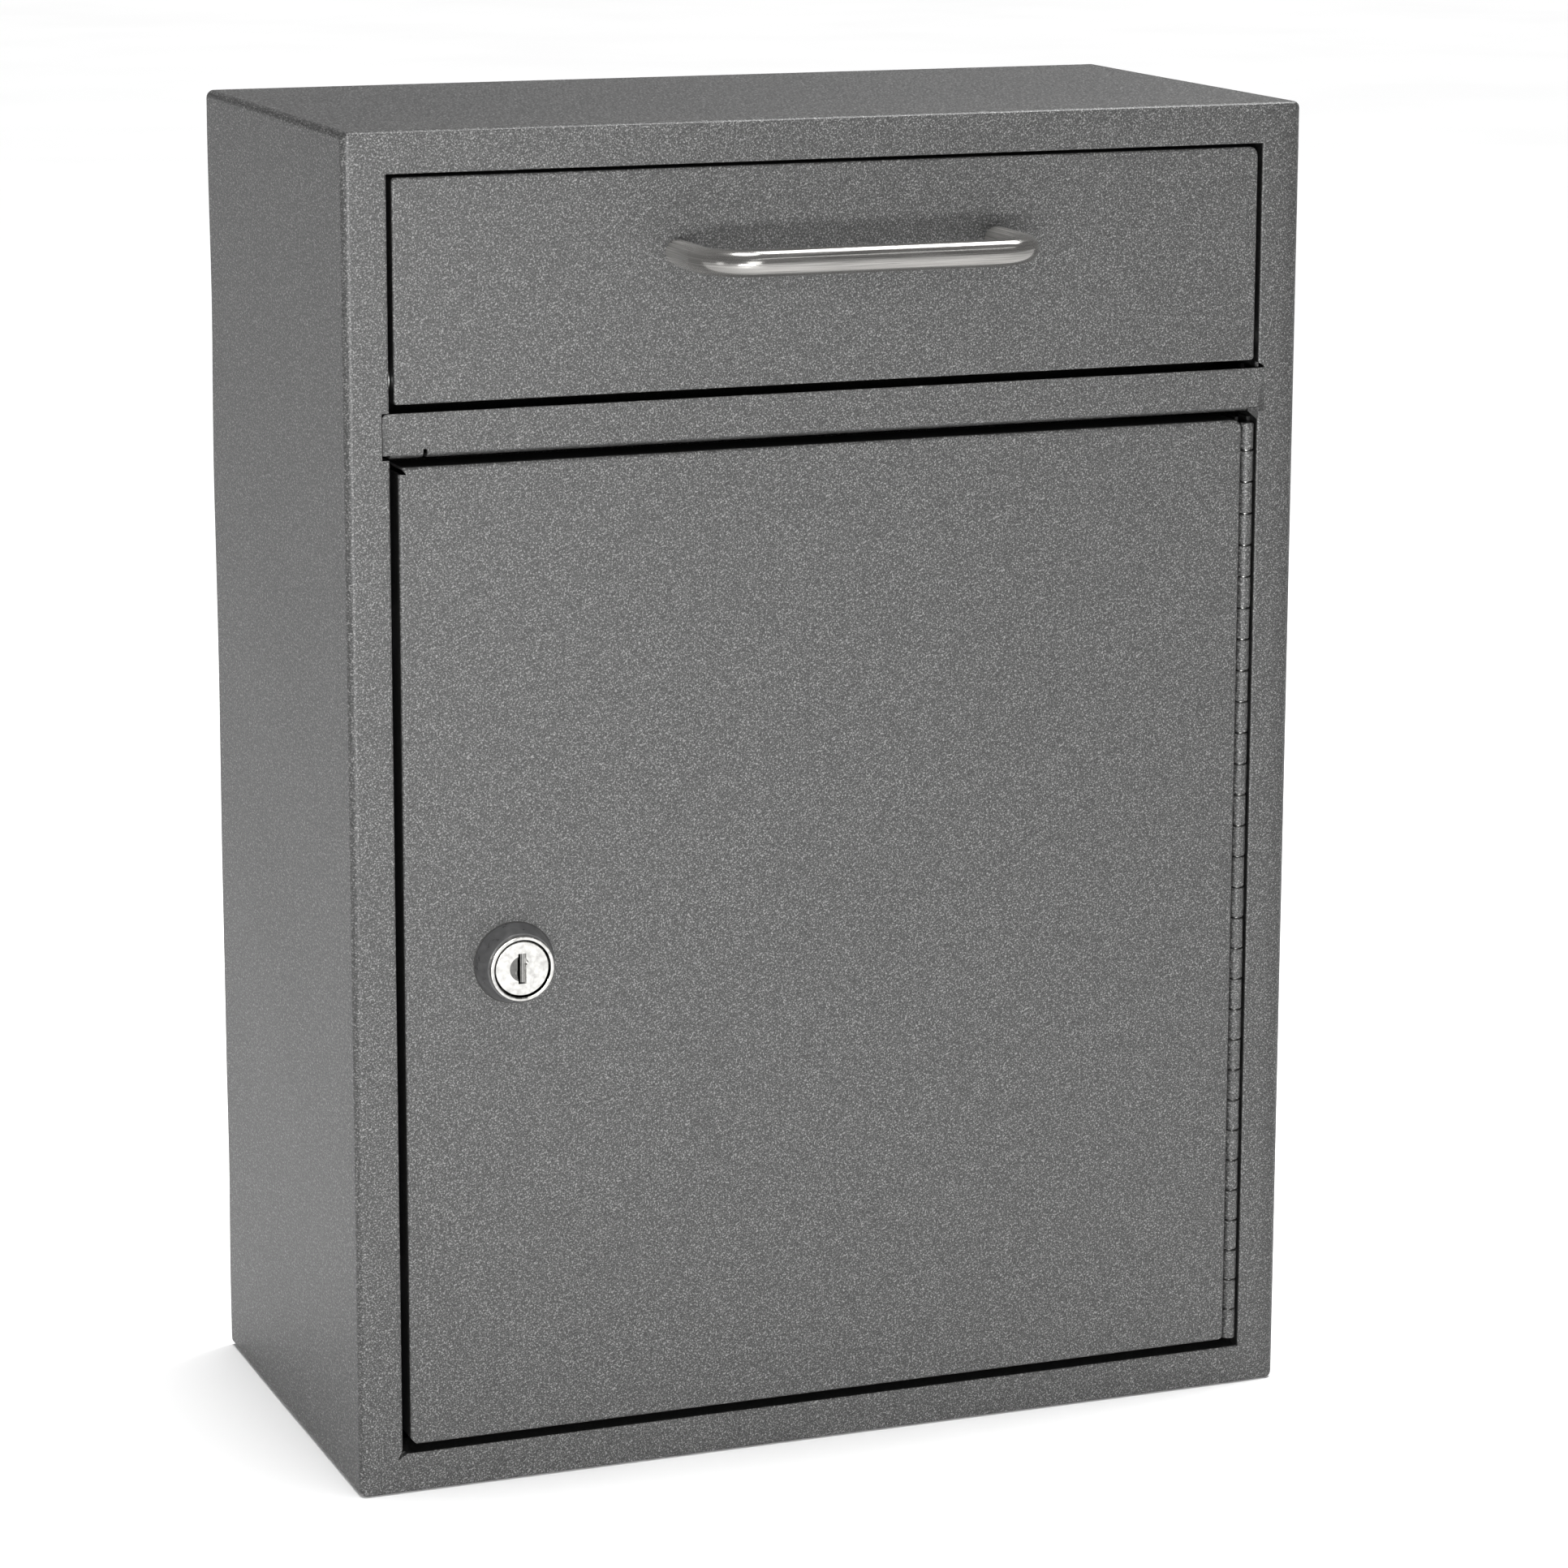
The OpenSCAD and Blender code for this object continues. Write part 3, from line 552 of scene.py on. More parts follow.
tab_half = 7 * mm
tabs_low, tabs_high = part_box("hopper_stop_tabs")
tab_shape = [(tabs_low.y, tabs_low.z), (tabs_low.y + sheet, tabs_low.z),
             (tabs_low.y + sheet, tabs_high.z - sheet), (tabs_high.y, tabs_high.z - sheet),
             (tabs_high.y, tabs_high.z), (tabs_low.y, tabs_high.z)]
for side, label in ((-1, "left"), (1, "right")):
    middle = side * (tabs_high.x - tab_half)
    tab = prism("hopper_stop_" + label, tab_shape, "x", middle - tab_half, middle + tab_half, soft)
    fit(tab, "cabinet", charcoal, "paint", "hopper_stop_tabs")

door_tabs_low, door_tabs_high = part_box("door_stop_tabs")
for middle, label in ((door_tabs_low.z + tab_half, "low"), (door_tabs_high.z - tab_half, "high")):
    x0, x1, y0, y1 = door_tabs_low.x, door_tabs_high.x, door_tabs_low.y, door_tabs_high.y
    angle_shape = [(x0, y0), (x0 + sheet, y0), (x0 + sheet, y1 - sheet), (x1, y1 - sheet), (x1, y1), (x0, y1)]
    tab = prism("door_stop_" + label, angle_shape, "z", middle - tab_half, middle + tab_half, soft)
    fit(tab, "cabinet", charcoal, "paint", "door_stop_tabs")


def vary(finish, socket, pattern, low, high):
    """Runs one of the shader's sockets between two values with a pattern."""
    tree = finish.node_tree
    span = tree.nodes.new("ShaderNodeMapRange")
    span.inputs["From Min"].default_value = 0.3
    span.inputs["From Max"].default_value = 0.7
    span.inputs["To Min"].default_value = low
    span.inputs["To Max"].default_value = high
    tree.links.new(pattern, span.inputs["Value"])
    tree.links.new(span.outputs["Result"], tree.nodes["Principled BSDF"].inputs[socket])


black_rubber = surface("black_rubber", (0.02, 0.02, 0.02), 0.8)
dust = speckle(black_rubber, 0.4 * mm)
tint(black_rubber, dust, [(0.3, (0.014, 0.014, 0.014)), (0.7, (0.032, 0.031, 0.03))])
vary(black_rubber, "Roughness", dust, 0.7, 0.9)
emboss(black_rubber, dust, 0.05 * mm, 0.5)


def turned(name, profile, x, z, steps=48, flats=None):
    """A piece turned on an axis from front to back. The profile's pairs are radius and y, and it is closed
    where it starts and ends on the axis. Flats, when given, cut the round down to this half width."""
    rings = []
    for radius, y in profile:
        ring = [Vector((radius * math.cos(math.tau * k / steps), y, radius * math.sin(math.tau * k / steps)))
                for k in range(steps)]
        if flats:
            for point in ring:
                point.x = min(max(point.x, -flats), flats)
        rings.append([point + Vector((x, 0, z)) for point in ring])
    hollow = profile[0][0] > tiny
    return skin(name, rings, closed=hollow)


pad_low, pad_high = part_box("hopper_bumpers")
pad_r = 3 * mm
for side, label in ((-1, "left"), (1, "right")):
    profile = [(0, pad_low.y), (pad_r - 0.8 * mm, pad_low.y), (pad_r - 0.2 * mm, pad_low.y + 0.25 * mm),
               (pad_r, pad_low.y + 0.8 * mm), (pad_r, pad_high.y), (0, pad_high.y)]
    pad = turned("hopper_pad_" + label, profile, side * (pad_high.x - pad_r), pad_low.z + pad_r)
    fit(pad, "cabinet", black_rubber, "rubber", "hopper_bumpers", crease=60)

strip_low, strip_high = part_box("door_bumpers")
strip_half = 5 * mm
strip_shape = [(strip_low.x, strip_low.y), (strip_high.x, strip_low.y), (strip_high.x, strip_high.y),
               (strip_low.x, strip_high.y)]
for middle, label in ((strip_low.z + strip_half, "low"), (strip_high.z - strip_half, "high")):
    pad = prism("door_pad_" + label, strip_shape, "z", middle - strip_half, middle + strip_half, 0.3 * mm)
    fit(pad, "cabinet", black_rubber, "rubber", "door_bumpers")

# ---- Hinge ----
# A continuous hinge runs the whole height of the door. Every second knuckle is rolled from the strip
# welded to the jamb's lip and the others from the strip on the door, and one pin holds them all.
door_low, door_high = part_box("door_panel")
frame_leaf_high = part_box("hinge_frame_leaf")[1]
door_leaf_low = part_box("hinge_door_leaf")[0]
swing = next(joint for joint in frame["joints"] if joint["name"] == "door_swing")["pos_m"]
leaf = 1.0 * mm
knuckle_r = 2.2 * mm
knuckles = 30
knuckle_gap = 0.42 * mm
top_short = 1.2 * mm
pitch = (door_high.z - door_low.z) / knuckles


def hinge_leaf(name, first, strap_x):
    """One leaf of the hinge: a flat strip, and every second knuckle with its strap."""
    strip_front = swing[1] + knuckle_r + 0.8 * mm
    turn = [math.tau * step / 28 for step in range(28)]
    roll_shape = [(swing[0] + knuckle_r * math.cos(a), swing[1] + knuckle_r * math.sin(a)) for a in turn]
    parts = []
    for index in range(first, knuckles, 2):
        low = door_low.z + index * pitch + knuckle_gap / 2
        high = low + pitch - knuckle_gap - (top_short if index == knuckles - 1 else 0)
        roll = prism("roll", roll_shape, "z", low, high, 0.25 * mm)
        strap = block((strap_x, swing[1], low + 0.3 * mm),
                      (strap_x + leaf, strip_front + 0.5 * mm, high - 0.3 * mm))
        parts.append(work_on(roll, [strap], "UNION"))
    strip = block((strap_x, strip_front, door_low.z),
                  (strap_x + leaf, frame_leaf_high.y, door_high.z), 0.1 * mm)
    strip.name = name
    work_on(strip, parts, "UNION")
    # Painted shade on the back halves of the knuckles, which lie in the gap by the jamb.
    mark = strip.data.attributes.new("seam_and_fold_shade", "FLOAT", "POINT")
    for vertex in strip.data.vertices:
        mark.data[vertex.index].value = float(vertex.co.y > swing[1] + 0.3 * mm)
    return strip


frame_leaf = hinge_leaf("hinge_leaf_jamb", 0, frame_leaf_high.x - leaf)
fit(frame_leaf, "cabinet", charcoal, "paint", "hinge_frame_leaf")
door_leaf = hinge_leaf("hinge_leaf_door", 1, door_leaf_low.x)
fit(door_leaf, "door", charcoal, "paint", "hinge_door_leaf")

zinc = surface("zinc_plate", (0.56, 0.56, 0.54), 0.35, 1.0)
crystals = speckle(zinc, 1.2 * mm, 3.0)
tint(zinc, crystals, [(0.3, (0.42, 0.43, 0.43)), (0.7, (0.66, 0.65, 0.62))])
vary(zinc, "Roughness", crystals, 0.28, 0.45)
emboss(zinc, speckle(zinc, 0.15 * mm), 0.02 * mm, 0.3)

pin_low, pin_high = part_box("hinge_pin")
pin_r = (pin_high.x - pin_low.x) / 2
pin_short = 1.6 * mm
pin_long = pin_high.z - pin_low.z - pin_short
pin = turned("hinge_rod", [(0, 0), (pin_r - soft, 0), (pin_r, soft), (pin_r, pin_long - soft),
                           (pin_r - soft, pin_long), (0, pin_long)], 0, 0, 24)
pin.data.transform(Matrix.Translation((swing[0], swing[1], pin_low.z))
                   @ Matrix.Rotation(math.radians(90), 4, "X"))
fit(pin, "cabinet", zinc, "zinc_steel", "hinge_pin")

# ---- Hopper pivots ----
# The hopper turns on a shouldered rivet in each jamb's lip, with a spacer ring that keeps it clear.
tilt = next(joint for joint in frame["joints"] if joint["name"] == "hopper_tilt")["pos_m"]
spacers_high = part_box("pivot_spacers")[1]
hopper_low, hopper_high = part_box("hopper_panel")
tray_low, tray_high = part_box("hopper_tray")
rivet_r = 2.5 * mm
head_r = 4 * mm
inner_end = tray_high.x - sheet - 1.4 * mm
for side, label in ((-1, "left"), (1, "right")):
    rivet_profile = [(0, inner_end), (head_r - 1.2 * mm, inner_end),
                     (head_r - 0.3 * mm, inner_end + 0.4 * mm), (head_r, inner_end + 0.9 * mm),
                     (head_r, inner_end + 1.2 * mm), (rivet_r, inner_end + 1.2 * mm),
                     (rivet_r, pivots_high.x - mm), (head_r, pivots_high.x - mm),
                     (head_r, pivots_high.x - 0.6 * mm), (head_r - 1.0 * mm, pivots_high.x - 0.1 * mm),
                     (0, pivots_high.x)]
    rivet = turned("pivot_rivet_" + label, rivet_profile, 0, 0, 32)
    spacer_profile = [(2.6 * mm, spacers_high.x), (3.7 * mm, spacers_high.x),
                      (3.9 * mm, spacers_high.x - soft),
                      (3.9 * mm, hopper_high.x + 0.3 * mm), (3.7 * mm, hopper_high.x + 0.1 * mm),
                      (2.6 * mm, hopper_high.x + 0.1 * mm)]
    ring = turned("pivot_ring_" + label, spacer_profile, 0, 0, 32)
    for piece, node in ((rivet, "pivot_pins"), (ring, "pivot_spacers")):
        piece.data.transform(Matrix.Translation((0, tilt[1], tilt[2]))
                             @ Matrix.Rotation(math.radians(-90 * side), 4, "Z"))
        fit(piece, "cabinet", zinc, "zinc_steel", node)

# ---- Hopper ----
# The hopper's front is a folded pan like the door. A tray is welded behind it: a floor that slopes to
# the back between two upright wings, hemmed at its far edge so that it's safe to the hand.
hopper_box = (hopper_low.x, hopper_high.x, hopper_low.z, hopper_high.z)
hopper_front = pan("hopper_front", hopper_box, hopper_low.y, hopper_high.y, 0.9 * mm,
                   (1.2 * mm, 1.2 * mm, 3.0 * mm, 1.2 * mm))
screw_low, screw_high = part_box("handle_screws")
washer_low, washer_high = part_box("handle_washers")
leg_x = washer_high.x - 4.8 * mm
leg_z = (washer_low.z + washer_high.z) / 2
holes = [round_hole(side * leg_x, leg_z, 2.25 * mm, front - mm, front + 2 * mm, 24) for side in (-1, 1)]
eye = [(tilt[1] + pivot_hole_r * math.cos(math.tau * k / 24),
        tilt[2] + pivot_hole_r * math.sin(math.tau * k / 24)) for k in range(24)]
for side in (-1, 1):
    ends = sorted((side * (hopper_high.x - 2 * mm), side * (hopper_high.x + mm)))
    holes.append(prism("eye", eye, "x", *ends))
work_on(hopper_front, holes)
# Painted shade on the folds that face the gaps round the hopper.
shade_folds(hopper_front, hopper_box)
fit(hopper_front, "hopper", charcoal, "paint", "hopper_panel")

slope = math.tan(math.radians(23))
floor_y = hopper_high.y + 0.2 * mm
floor_z = hopper_low.z + sheet
reach_y = tilt[1] + 86 * mm
reach_z = floor_z - (reach_y - floor_y) * slope
wing_r = hopper_high.z - sheet - tilt[2] - 0.2 * mm
stop_line = 59.2 * mm
wing_end = 93 * mm
open_angle = math.radians(45)
stop_run = math.sqrt(wing_end ** 2 - stop_line ** 2)
foot = Vector((stop_line * math.sin(open_angle), stop_line * math.cos(open_angle)))
tip = foot + Vector((stop_run * math.cos(open_angle), -stop_run * math.sin(open_angle)))
first_y = tray_low.y - tilt[1]
arc_from = math.asin(first_y / wing_r)
arc_to = open_angle * 0.9
wing = [(tray_low.y, floor_z + 0.4 * mm)]
wing += [(tilt[1] + wing_r * math.sin(a), tilt[2] + wing_r * math.cos(a))
         for a in (arc_from + (arc_to - arc_from) * k / 12 for k in range(13))]
wing += [(tilt[1] + foot.x, tilt[2] + foot.y), (tilt[1] + tip.x, tilt[2] + tip.y), (reach_y, reach_z),
         (floor_y, floor_z), (floor_y, floor_z + 0.4 * mm)]
lie = floor_z + sheet
tray_floor = [(tray_low.y, floor_z), (tray_low.y, lie), (floor_y + sheet / 2, lie),
              (reach_y, reach_z + sheet), (reach_y, reach_z), (floor_y, floor_z)]
hem_y = reach_y - 6 * mm
hem_z = reach_z + 6 * mm * slope
tray_hem = [(reach_y, reach_z + 0.2 * mm), (reach_y, reach_z - sheet), (hem_y, hem_z - sheet), (hem_y, hem_z)]
wing_x = tray_high.x
tray = prism("tray", tray_floor, "x", -wing_x + 0.6 * mm, wing_x - 0.6 * mm)
parts = [prism("wing", wing, "x", wing_x - sheet, wing_x, 0.15 * mm),
         prism("wing", wing, "x", -wing_x, -wing_x + sheet, 0.15 * mm),
         prism("hem", tray_hem, "x", -wing_x + sheet + 0.1 * mm, wing_x - sheet - 0.1 * mm)]
work_on(tray, parts, "UNION")
eyes = [prism("eye", eye, "x", *sorted((side * (wing_x - 2 * sheet), side * (wing_x + mm))))
        for side in (-1, 1)]
work_on(tray, eyes)
fit(tray, "hopper", charcoal, "paint", "hopper_tray")

# ---- Handle ----
# An 8 mm stainless rod, bent twice and brushed along its length. Each leg is tapped for a screw that
# comes from inside the hopper's front, over a washer.
handle_low, handle_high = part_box("pull_handle")
rod_r = (handle_high.z - handle_low.z) / 2
rod_z = (handle_high.z + handle_low.z) / 2
grip_y = handle_low.y + rod_r
leg_out = handle_high.x - rod_r
rod_bend = 14 * mm
leg_start = front - 0.3 * mm
leg_run = grip_y + rod_bend - leg_start
route = [Vector((-leg_out, front, rod_z)), Vector((-leg_out, leg_start, rod_z))]
leg_steps = 6
for step in range(1, leg_steps + 1):
    route.append(Vector((-leg_out, leg_start + leg_run * step / leg_steps, rod_z)))
bend_steps = 14
for step in range(1, bend_steps + 1):
    a = math.radians(90 * step / bend_steps)
    route.append(Vector((-leg_out + rod_bend * (1 - math.cos(a)),
                         grip_y + rod_bend * (1 - math.sin(a)), rod_z)))
bar_steps = 12
half_bar = leg_out - rod_bend
route += [Vector((-half_bar + half_bar * step / bar_steps, grip_y, rod_z))
          for step in range(1, bar_steps + 1)]
route += [Vector((-point.x, point.y, point.z)) for point in reversed(route[:-1])]
rod_points = 48
rod_turn = [math.tau * k / rod_points for k in range(rod_points)]
rod_rings = []
straightened = []
length = 0
for i, point in enumerate(route):
    forward = (route[min(i + 1, len(route) - 1)] - route[max(i - 1, 0)]).normalized()
    outward = forward.cross(Vector((0, 0, 1)))
    if i:
        length += (point - route[i - 1]).length
    radius = rod_r - 0.3 * mm if i in (0, len(route) - 1) else rod_r
    rod_rings.append([point + outward * radius * math.cos(a) + Vector((0, 0, radius * math.sin(a)))
                      for a in rod_turn])
    straightened += [(radius * math.cos(a), radius * math.sin(a), length) for a in rod_turn]
handle = skin("handle", rod_rings)
brushed_along = handle.data.attributes.new("brushed_along", "FLOAT_VECTOR", "POINT")
brushed_along.data.foreach_set("vector", [value for point in straightened for value in point])

dulled = handle.data.attributes.new("dull", "FLOAT", "POINT")
for vertex in handle.data.vertices:
    near = (vertex.co.y - grip_y) / (front - grip_y)
    dulled.data[vertex.index].value = min(max(near * 1.2, 0), 1)

stainless = surface("brushed_stainless", (0.50, 0.49, 0.47), 0.18, 0.8)
strokes = speckle(stainless, 0.22 * mm, 3.0, (1, 1, 0.012), "brushed_along")
tint(stainless, strokes, [(0.3, (0.16, 0.157, 0.150)), (0.7, (0.32, 0.312, 0.30))])
vary(stainless, "Roughness", strokes, 0.13, 0.24)
# The brushing didn't reach the legs near the hopper's front, and they are duller there.
steel_tree = stainless.node_tree
dull = steel_tree.nodes.new("ShaderNodeAttribute")
dull.attribute_name = "dull"
metal = steel_tree.nodes.new("ShaderNodeMapRange")
metal.inputs["To Min"].default_value = 0.85
metal.inputs["To Max"].default_value = 0.3
steel_tree.links.new(dull.outputs["Fac"], metal.inputs["Value"])
steel_tree.links.new(metal.outputs["Result"], steel_tree.nodes["Principled BSDF"].inputs["Metallic"])
emboss(stainless, strokes, 0.002 * mm, 0.1)
fit(handle, "hopper", stainless, "stainless", "pull_handle", crease=60)


def cross_slot(x, y, z, long, wide, deep):
    """Cutters for a cross recess sunk forwards into a screw head whose top is at y."""
    slots = []
    for across, rise in ((long, wide), (wide, long)):
        slots.append(block((x - across / 2, y - deep, z - rise / 2), (x + across / 2, y + mm, z + rise / 2)))
    return slots


def pan_screw(name, x, z, tip_y, seat_y, top_y, shank_r, cap_r, thread):
    """A pan-head screw whose head is at the back, with rings of thread along its shank."""
    profile = [(0, tip_y), (shank_r - 0.5 * mm, tip_y)]
    turns = int((seat_y - tip_y - 0.4 * mm) / thread)
    for k in range(turns):
        y = tip_y + 0.2 * mm + k * thread
        profile += [(shank_r - 0.3 * mm, y), (shank_r, y + thread / 2)]
    profile += [(shank_r - 0.3 * mm, seat_y), (cap_r, seat_y), (cap_r, seat_y + 0.5 * (top_y - seat_y))]
    profile += [(cap_r - 0.35 * mm, seat_y + 0.8 * (top_y - seat_y)), (cap_r - 1.2 * mm, top_y - 0.1 * mm),
                (0, top_y)]
    return work_on(turned(name, profile, x, z, 32), cross_slot(x, top_y, z, 4.4 * mm, 1.1 * mm, 1.3 * mm))


for side, label in ((-1, "left"), (1, "right")):
    screw = pan_screw("handle_screw_" + label, side * leg_x, leg_z, screw_low.y, washer_high.y, screw_high.y,
                      2 * mm, 3.9 * mm, 0.7 * mm)
    fit(screw, "hopper", zinc, "zinc_steel", "handle_screws")
    washer_profile = [(2.25 * mm, washer_low.y), (4.7 * mm, washer_low.y),
                      (4.8 * mm, washer_low.y + 0.1 * mm), (4.8 * mm, washer_high.y - 0.1 * mm),
                      (4.7 * mm, washer_high.y), (2.25 * mm, washer_high.y)]
    washer = turned("handle_washer_" + label, washer_profile, side * leg_x, leg_z)
    fit(washer, "hopper", zinc, "zinc_steel", "handle_washers")

# ---- Door ----
# A folded pan that fills the lower opening. Its left corners are left open where the bends meet, and a
# hole with two flats keeps the lock from turning in it.
door_box = (door_low.x, door_high.x, door_low.z, door_high.z)
door = pan("door", door_box, door_low.y, door_high.y, 1.2 * mm, (1.2 * mm, 1.6 * mm, 3.0 * mm, 1.2 * mm))
key_turn = next(joint for joint in frame["joints"] if joint["name"] == "lock_turn")["pos_m"]
key_x, key_z = key_turn[0], key_turn[2]


def double_flat(radius, half):
    """Outline of a round with two upright flats."""
    turn = [math.tau * step / 64 for step in range(64)]
    return [(key_x + min(max(radius * math.cos(a), -half), half), key_z + radius * math.sin(a)) for a in turn]


def corner_cut(name, z, corners):
    """A cutter for one of the door's left corners; the corners are in millimetres from that corner."""
    return prism(name, [(door_low.x + x * mm, z + rise * mm) for x, rise in corners],
                 "y", front - mm, door_high.y + mm)


work_on(door, [prism("hole", double_flat(9.6 * mm, 8.1 * mm), "y", front - mm, front + 2 * mm),
               corner_cut("notch", door_high.z, ((-1, 1), (1.6, 1), (1.3, -0.4), (2.6, -2.3), (-1, -2))),
               corner_cut("chamfer", door_low.z, ((-1, -1), (2.4, -1), (2.2, 0), (0, 2.4), (-1, 2.4)))])
# Painted shade on the folds that face the gaps round the door.
shade_folds(door, door_box)
fit(door, "door", charcoal, "paint", "door_panel")

# ---- Lock ----
# A cam lock: a threaded barrel with a bright nickel ring in front, a satin plastic collar that fills
# the space down to the door, and a toothed washer and nut that clamp it from behind.
collar_low, collar_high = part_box("lock_collar")
housing_low, housing_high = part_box("lock_housing")
collar_r = (collar_high.x - collar_low.x) / 2
ring_r = 9.9 * mm
shadow_line_height = 0.35 * mm
collar_profile = [(9.5 * mm, front - shadow_line_height), (collar_r - 0.1 * mm, front - shadow_line_height),
                  (collar_r, front - shadow_line_height - 0.1 * mm), (collar_r - 0.05 * mm, front - 0.9 * mm),
                  (ring_r + 0.62 * mm, collar_low.y + 0.35 * mm), (ring_r + 0.35 * mm, collar_low.y),
                  (9.5 * mm, collar_low.y)]
collar = turned("lock_bezel", collar_profile, key_x, key_z, 96)

satin_grey = surface("satin_grey_plastic", (0.085, 0.085, 0.087), 0.38)
haze = speckle(satin_grey, 2.5 * mm, 3.0)
tint(satin_grey, haze, [(0.3, (0.050, 0.050, 0.051)), (0.7, (0.080, 0.080, 0.081))])
vary(satin_grey, "Roughness", haze, 0.26, 0.38)
emboss(satin_grey, speckle(satin_grey, 0.12 * mm), 0.01 * mm, 0.3)
fit(collar, "door", satin_grey, "grey_plastic", "lock_collar")

# A thin black rubber ring under the collar stands in for the shadow line round its base: painted shadow.
shadow_line_r = collar_r + 0.32 * mm
shadow_line_profile = [(9.6 * mm, front), (shadow_line_r, front), (shadow_line_r, front - shadow_line_height + 0.08 * mm),
                  (collar_r + 0.05 * mm, front - shadow_line_height), (9.6 * mm, front - shadow_line_height)]
shadow_line_ring = turned("lock_shadow_line_ring", shadow_line_profile, key_x, key_z, 96)
fit(shadow_line_ring, "door", black_rubber, "grey_plastic", "lock_collar")

nickel = surface("bright_nickel", (0.80, 0.79, 0.765), 0.16, 1.0)
wear = speckle(nickel, 1.6 * mm, 4.0)
shine = tint(nickel, wear, [(0.35, (0.36, 0.356, 0.344)), (0.6, (0.53, 0.522, 0.506))])
vary(nickel, "Roughness", wear, 0.14, 0.28)
emboss(nickel, speckle(nickel, 0.12 * mm, 2.0, (1, 1, 0.08)), 0.006 * mm, 0.35)
# Painted shade darkens the walls of the narrow gap round the plug, and the recesses in its face.
paint_shade(nickel, shine, "recess_shade", 0.04)

face_y = housing_low.y
barrel_r = 9.4 * mm
bore_r = 8.78 * mm
plug_r = 6.1 * mm
seat_y = face_y + 3.05 * mm


def shade_lock_recesses(piece, face):
    """Marks the parts of a piece that line the gap round the plug, and those sunk in the plug's face, for
    painted shade:
    the thumb recess is darker than the shutter in the keyway, and the deep slot is darkest."""
    mark = piece.data.attributes.new("recess_shade", "FLOAT", "POINT")
    for vertex in piece.data.vertices:
        away = math.hypot(vertex.co.x - key_x, vertex.co.z - key_z)
        behind = vertex.co.y - face
        if 8.2 * mm < away < 9 * mm and 0.4 * mm < behind < 3.3 * mm:
            mark.data[vertex.index].value = 1
        elif away < 5.8 * mm and behind > 0.2 * mm:
            in_slot = -1.25 * mm < vertex.co.x - key_x < -0.4 * mm and behind > 0.85 * mm
            level = 0.8 if behind < 0.85 * mm else 0.5
            mark.data[vertex.index].value = 1 if in_slot or behind > 1 * mm else level


ring_profile = [(plug_r, housing_high.y), (plug_r, seat_y), (bore_r, seat_y), (bore_r, face_y + 0.45 * mm),
                (bore_r, face_y + 0.30 * mm), (bore_r + 0.05 * mm, face_y + 0.08 * mm),
                (bore_r + 0.18 * mm, face_y),
                (ring_r - 0.36 * mm, face_y), (ring_r - 0.12 * mm, face_y + 0.08 * mm),
                (ring_r - 0.02 * mm, face_y + 0.26 * mm), (ring_r, face_y + 0.5 * mm), (ring_r, collar_low.y),
                (barrel_r - 0.45 * mm, collar_low.y)]
thread = 0.9 * mm
thread_depth = 0.45 * mm
cuts = 6
barrel_points = 96
barrel_turn = [math.tau * k / barrel_points for k in range(barrel_points)]


def housing_ring(radius, y, flats=None):
    """One ring round the barrel, cut down to its flats."""
    half = flats or radius
    return [Vector((key_x + min(max(radius * math.cos(a), -half), half), y, key_z + radius * math.sin(a)))
            for a in barrel_turn]


housing_rings = [housing_ring(radius, y) for radius, y in ring_profile]
barrel_flat = 7.9 * mm
rows = int((housing_high.y - soft - collar_low.y) / (thread / cuts))
for row in range(1, rows):
    y = collar_low.y + row * thread / cuts
    ring = []
    for k, a in enumerate(barrel_turn):
        phase = (row / cuts + k / barrel_points) % 1
        radius = barrel_r - thread_depth * abs(2 * phase - 1)
        ring.append(Vector((key_x + min(max(radius * math.cos(a), -barrel_flat), barrel_flat), y,
                            key_z + radius * math.sin(a))))
    housing_rings.append(ring)
housing_rings.append(housing_ring(barrel_r - 0.5 * mm, housing_high.y, barrel_flat - soft))
housing = skin("lock_barrel", housing_rings, closed=True)
# Painted shade on the barrel's walls round the plug.
shade_lock_recesses(housing, face_y)
fit(housing, "door", nickel, "nickel", "lock_housing", crease=32)

tooth_low, tooth_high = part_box("lock_washer")
teeth = 16
tooth_shape = []
for k in range(teeth * 4):
    a = math.tau * k / (teeth * 4)
    radius = 12.5 * mm if k % 4 < 2 else 11.2 * mm
    tooth_shape.append((key_x + radius * math.cos(a), key_z + radius * math.sin(a)))
toothed = prism("lock_tooth_washer", tooth_shape, "y", tooth_low.y, tooth_high.y, 0.1 * mm)
work_on(toothed, [round_hole(key_x, key_z, 9.6 * mm, tooth_low.y - mm, tooth_high.y + mm, 64)])
fit(toothed, "door", zinc, "zinc_steel", "lock_washer")

nut_low, nut_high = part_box("lock_nut")
nut_half = 12 * mm
nut = turned("lock_hex_nut", [(0, nut_low.y), (12.6 * mm, nut_low.y), (13.9 * mm, nut_low.y + 0.7 * mm),
                              (13.9 * mm, nut_high.y - 0.7 * mm), (12.6 * mm, nut_high.y), (0, nut_high.y)],
             key_x, key_z, 96)
corner_r = nut_half / math.cos(math.radians(30))
hexagon = [(key_x + corner_r * math.cos(math.radians(60 * k)),
            key_z + corner_r * math.sin(math.radians(60 * k))) for k in range(6)]
work_on(nut, [prism("hexagon", hexagon, "y", nut_low.y - mm, nut_high.y + mm)], "INTERSECT")
work_on(nut, [round_hole(key_x, key_z, 9.45 * mm, nut_low.y - mm, nut_high.y + mm, 64)])
fit(nut, "door", zinc, "zinc_steel", "lock_nut")

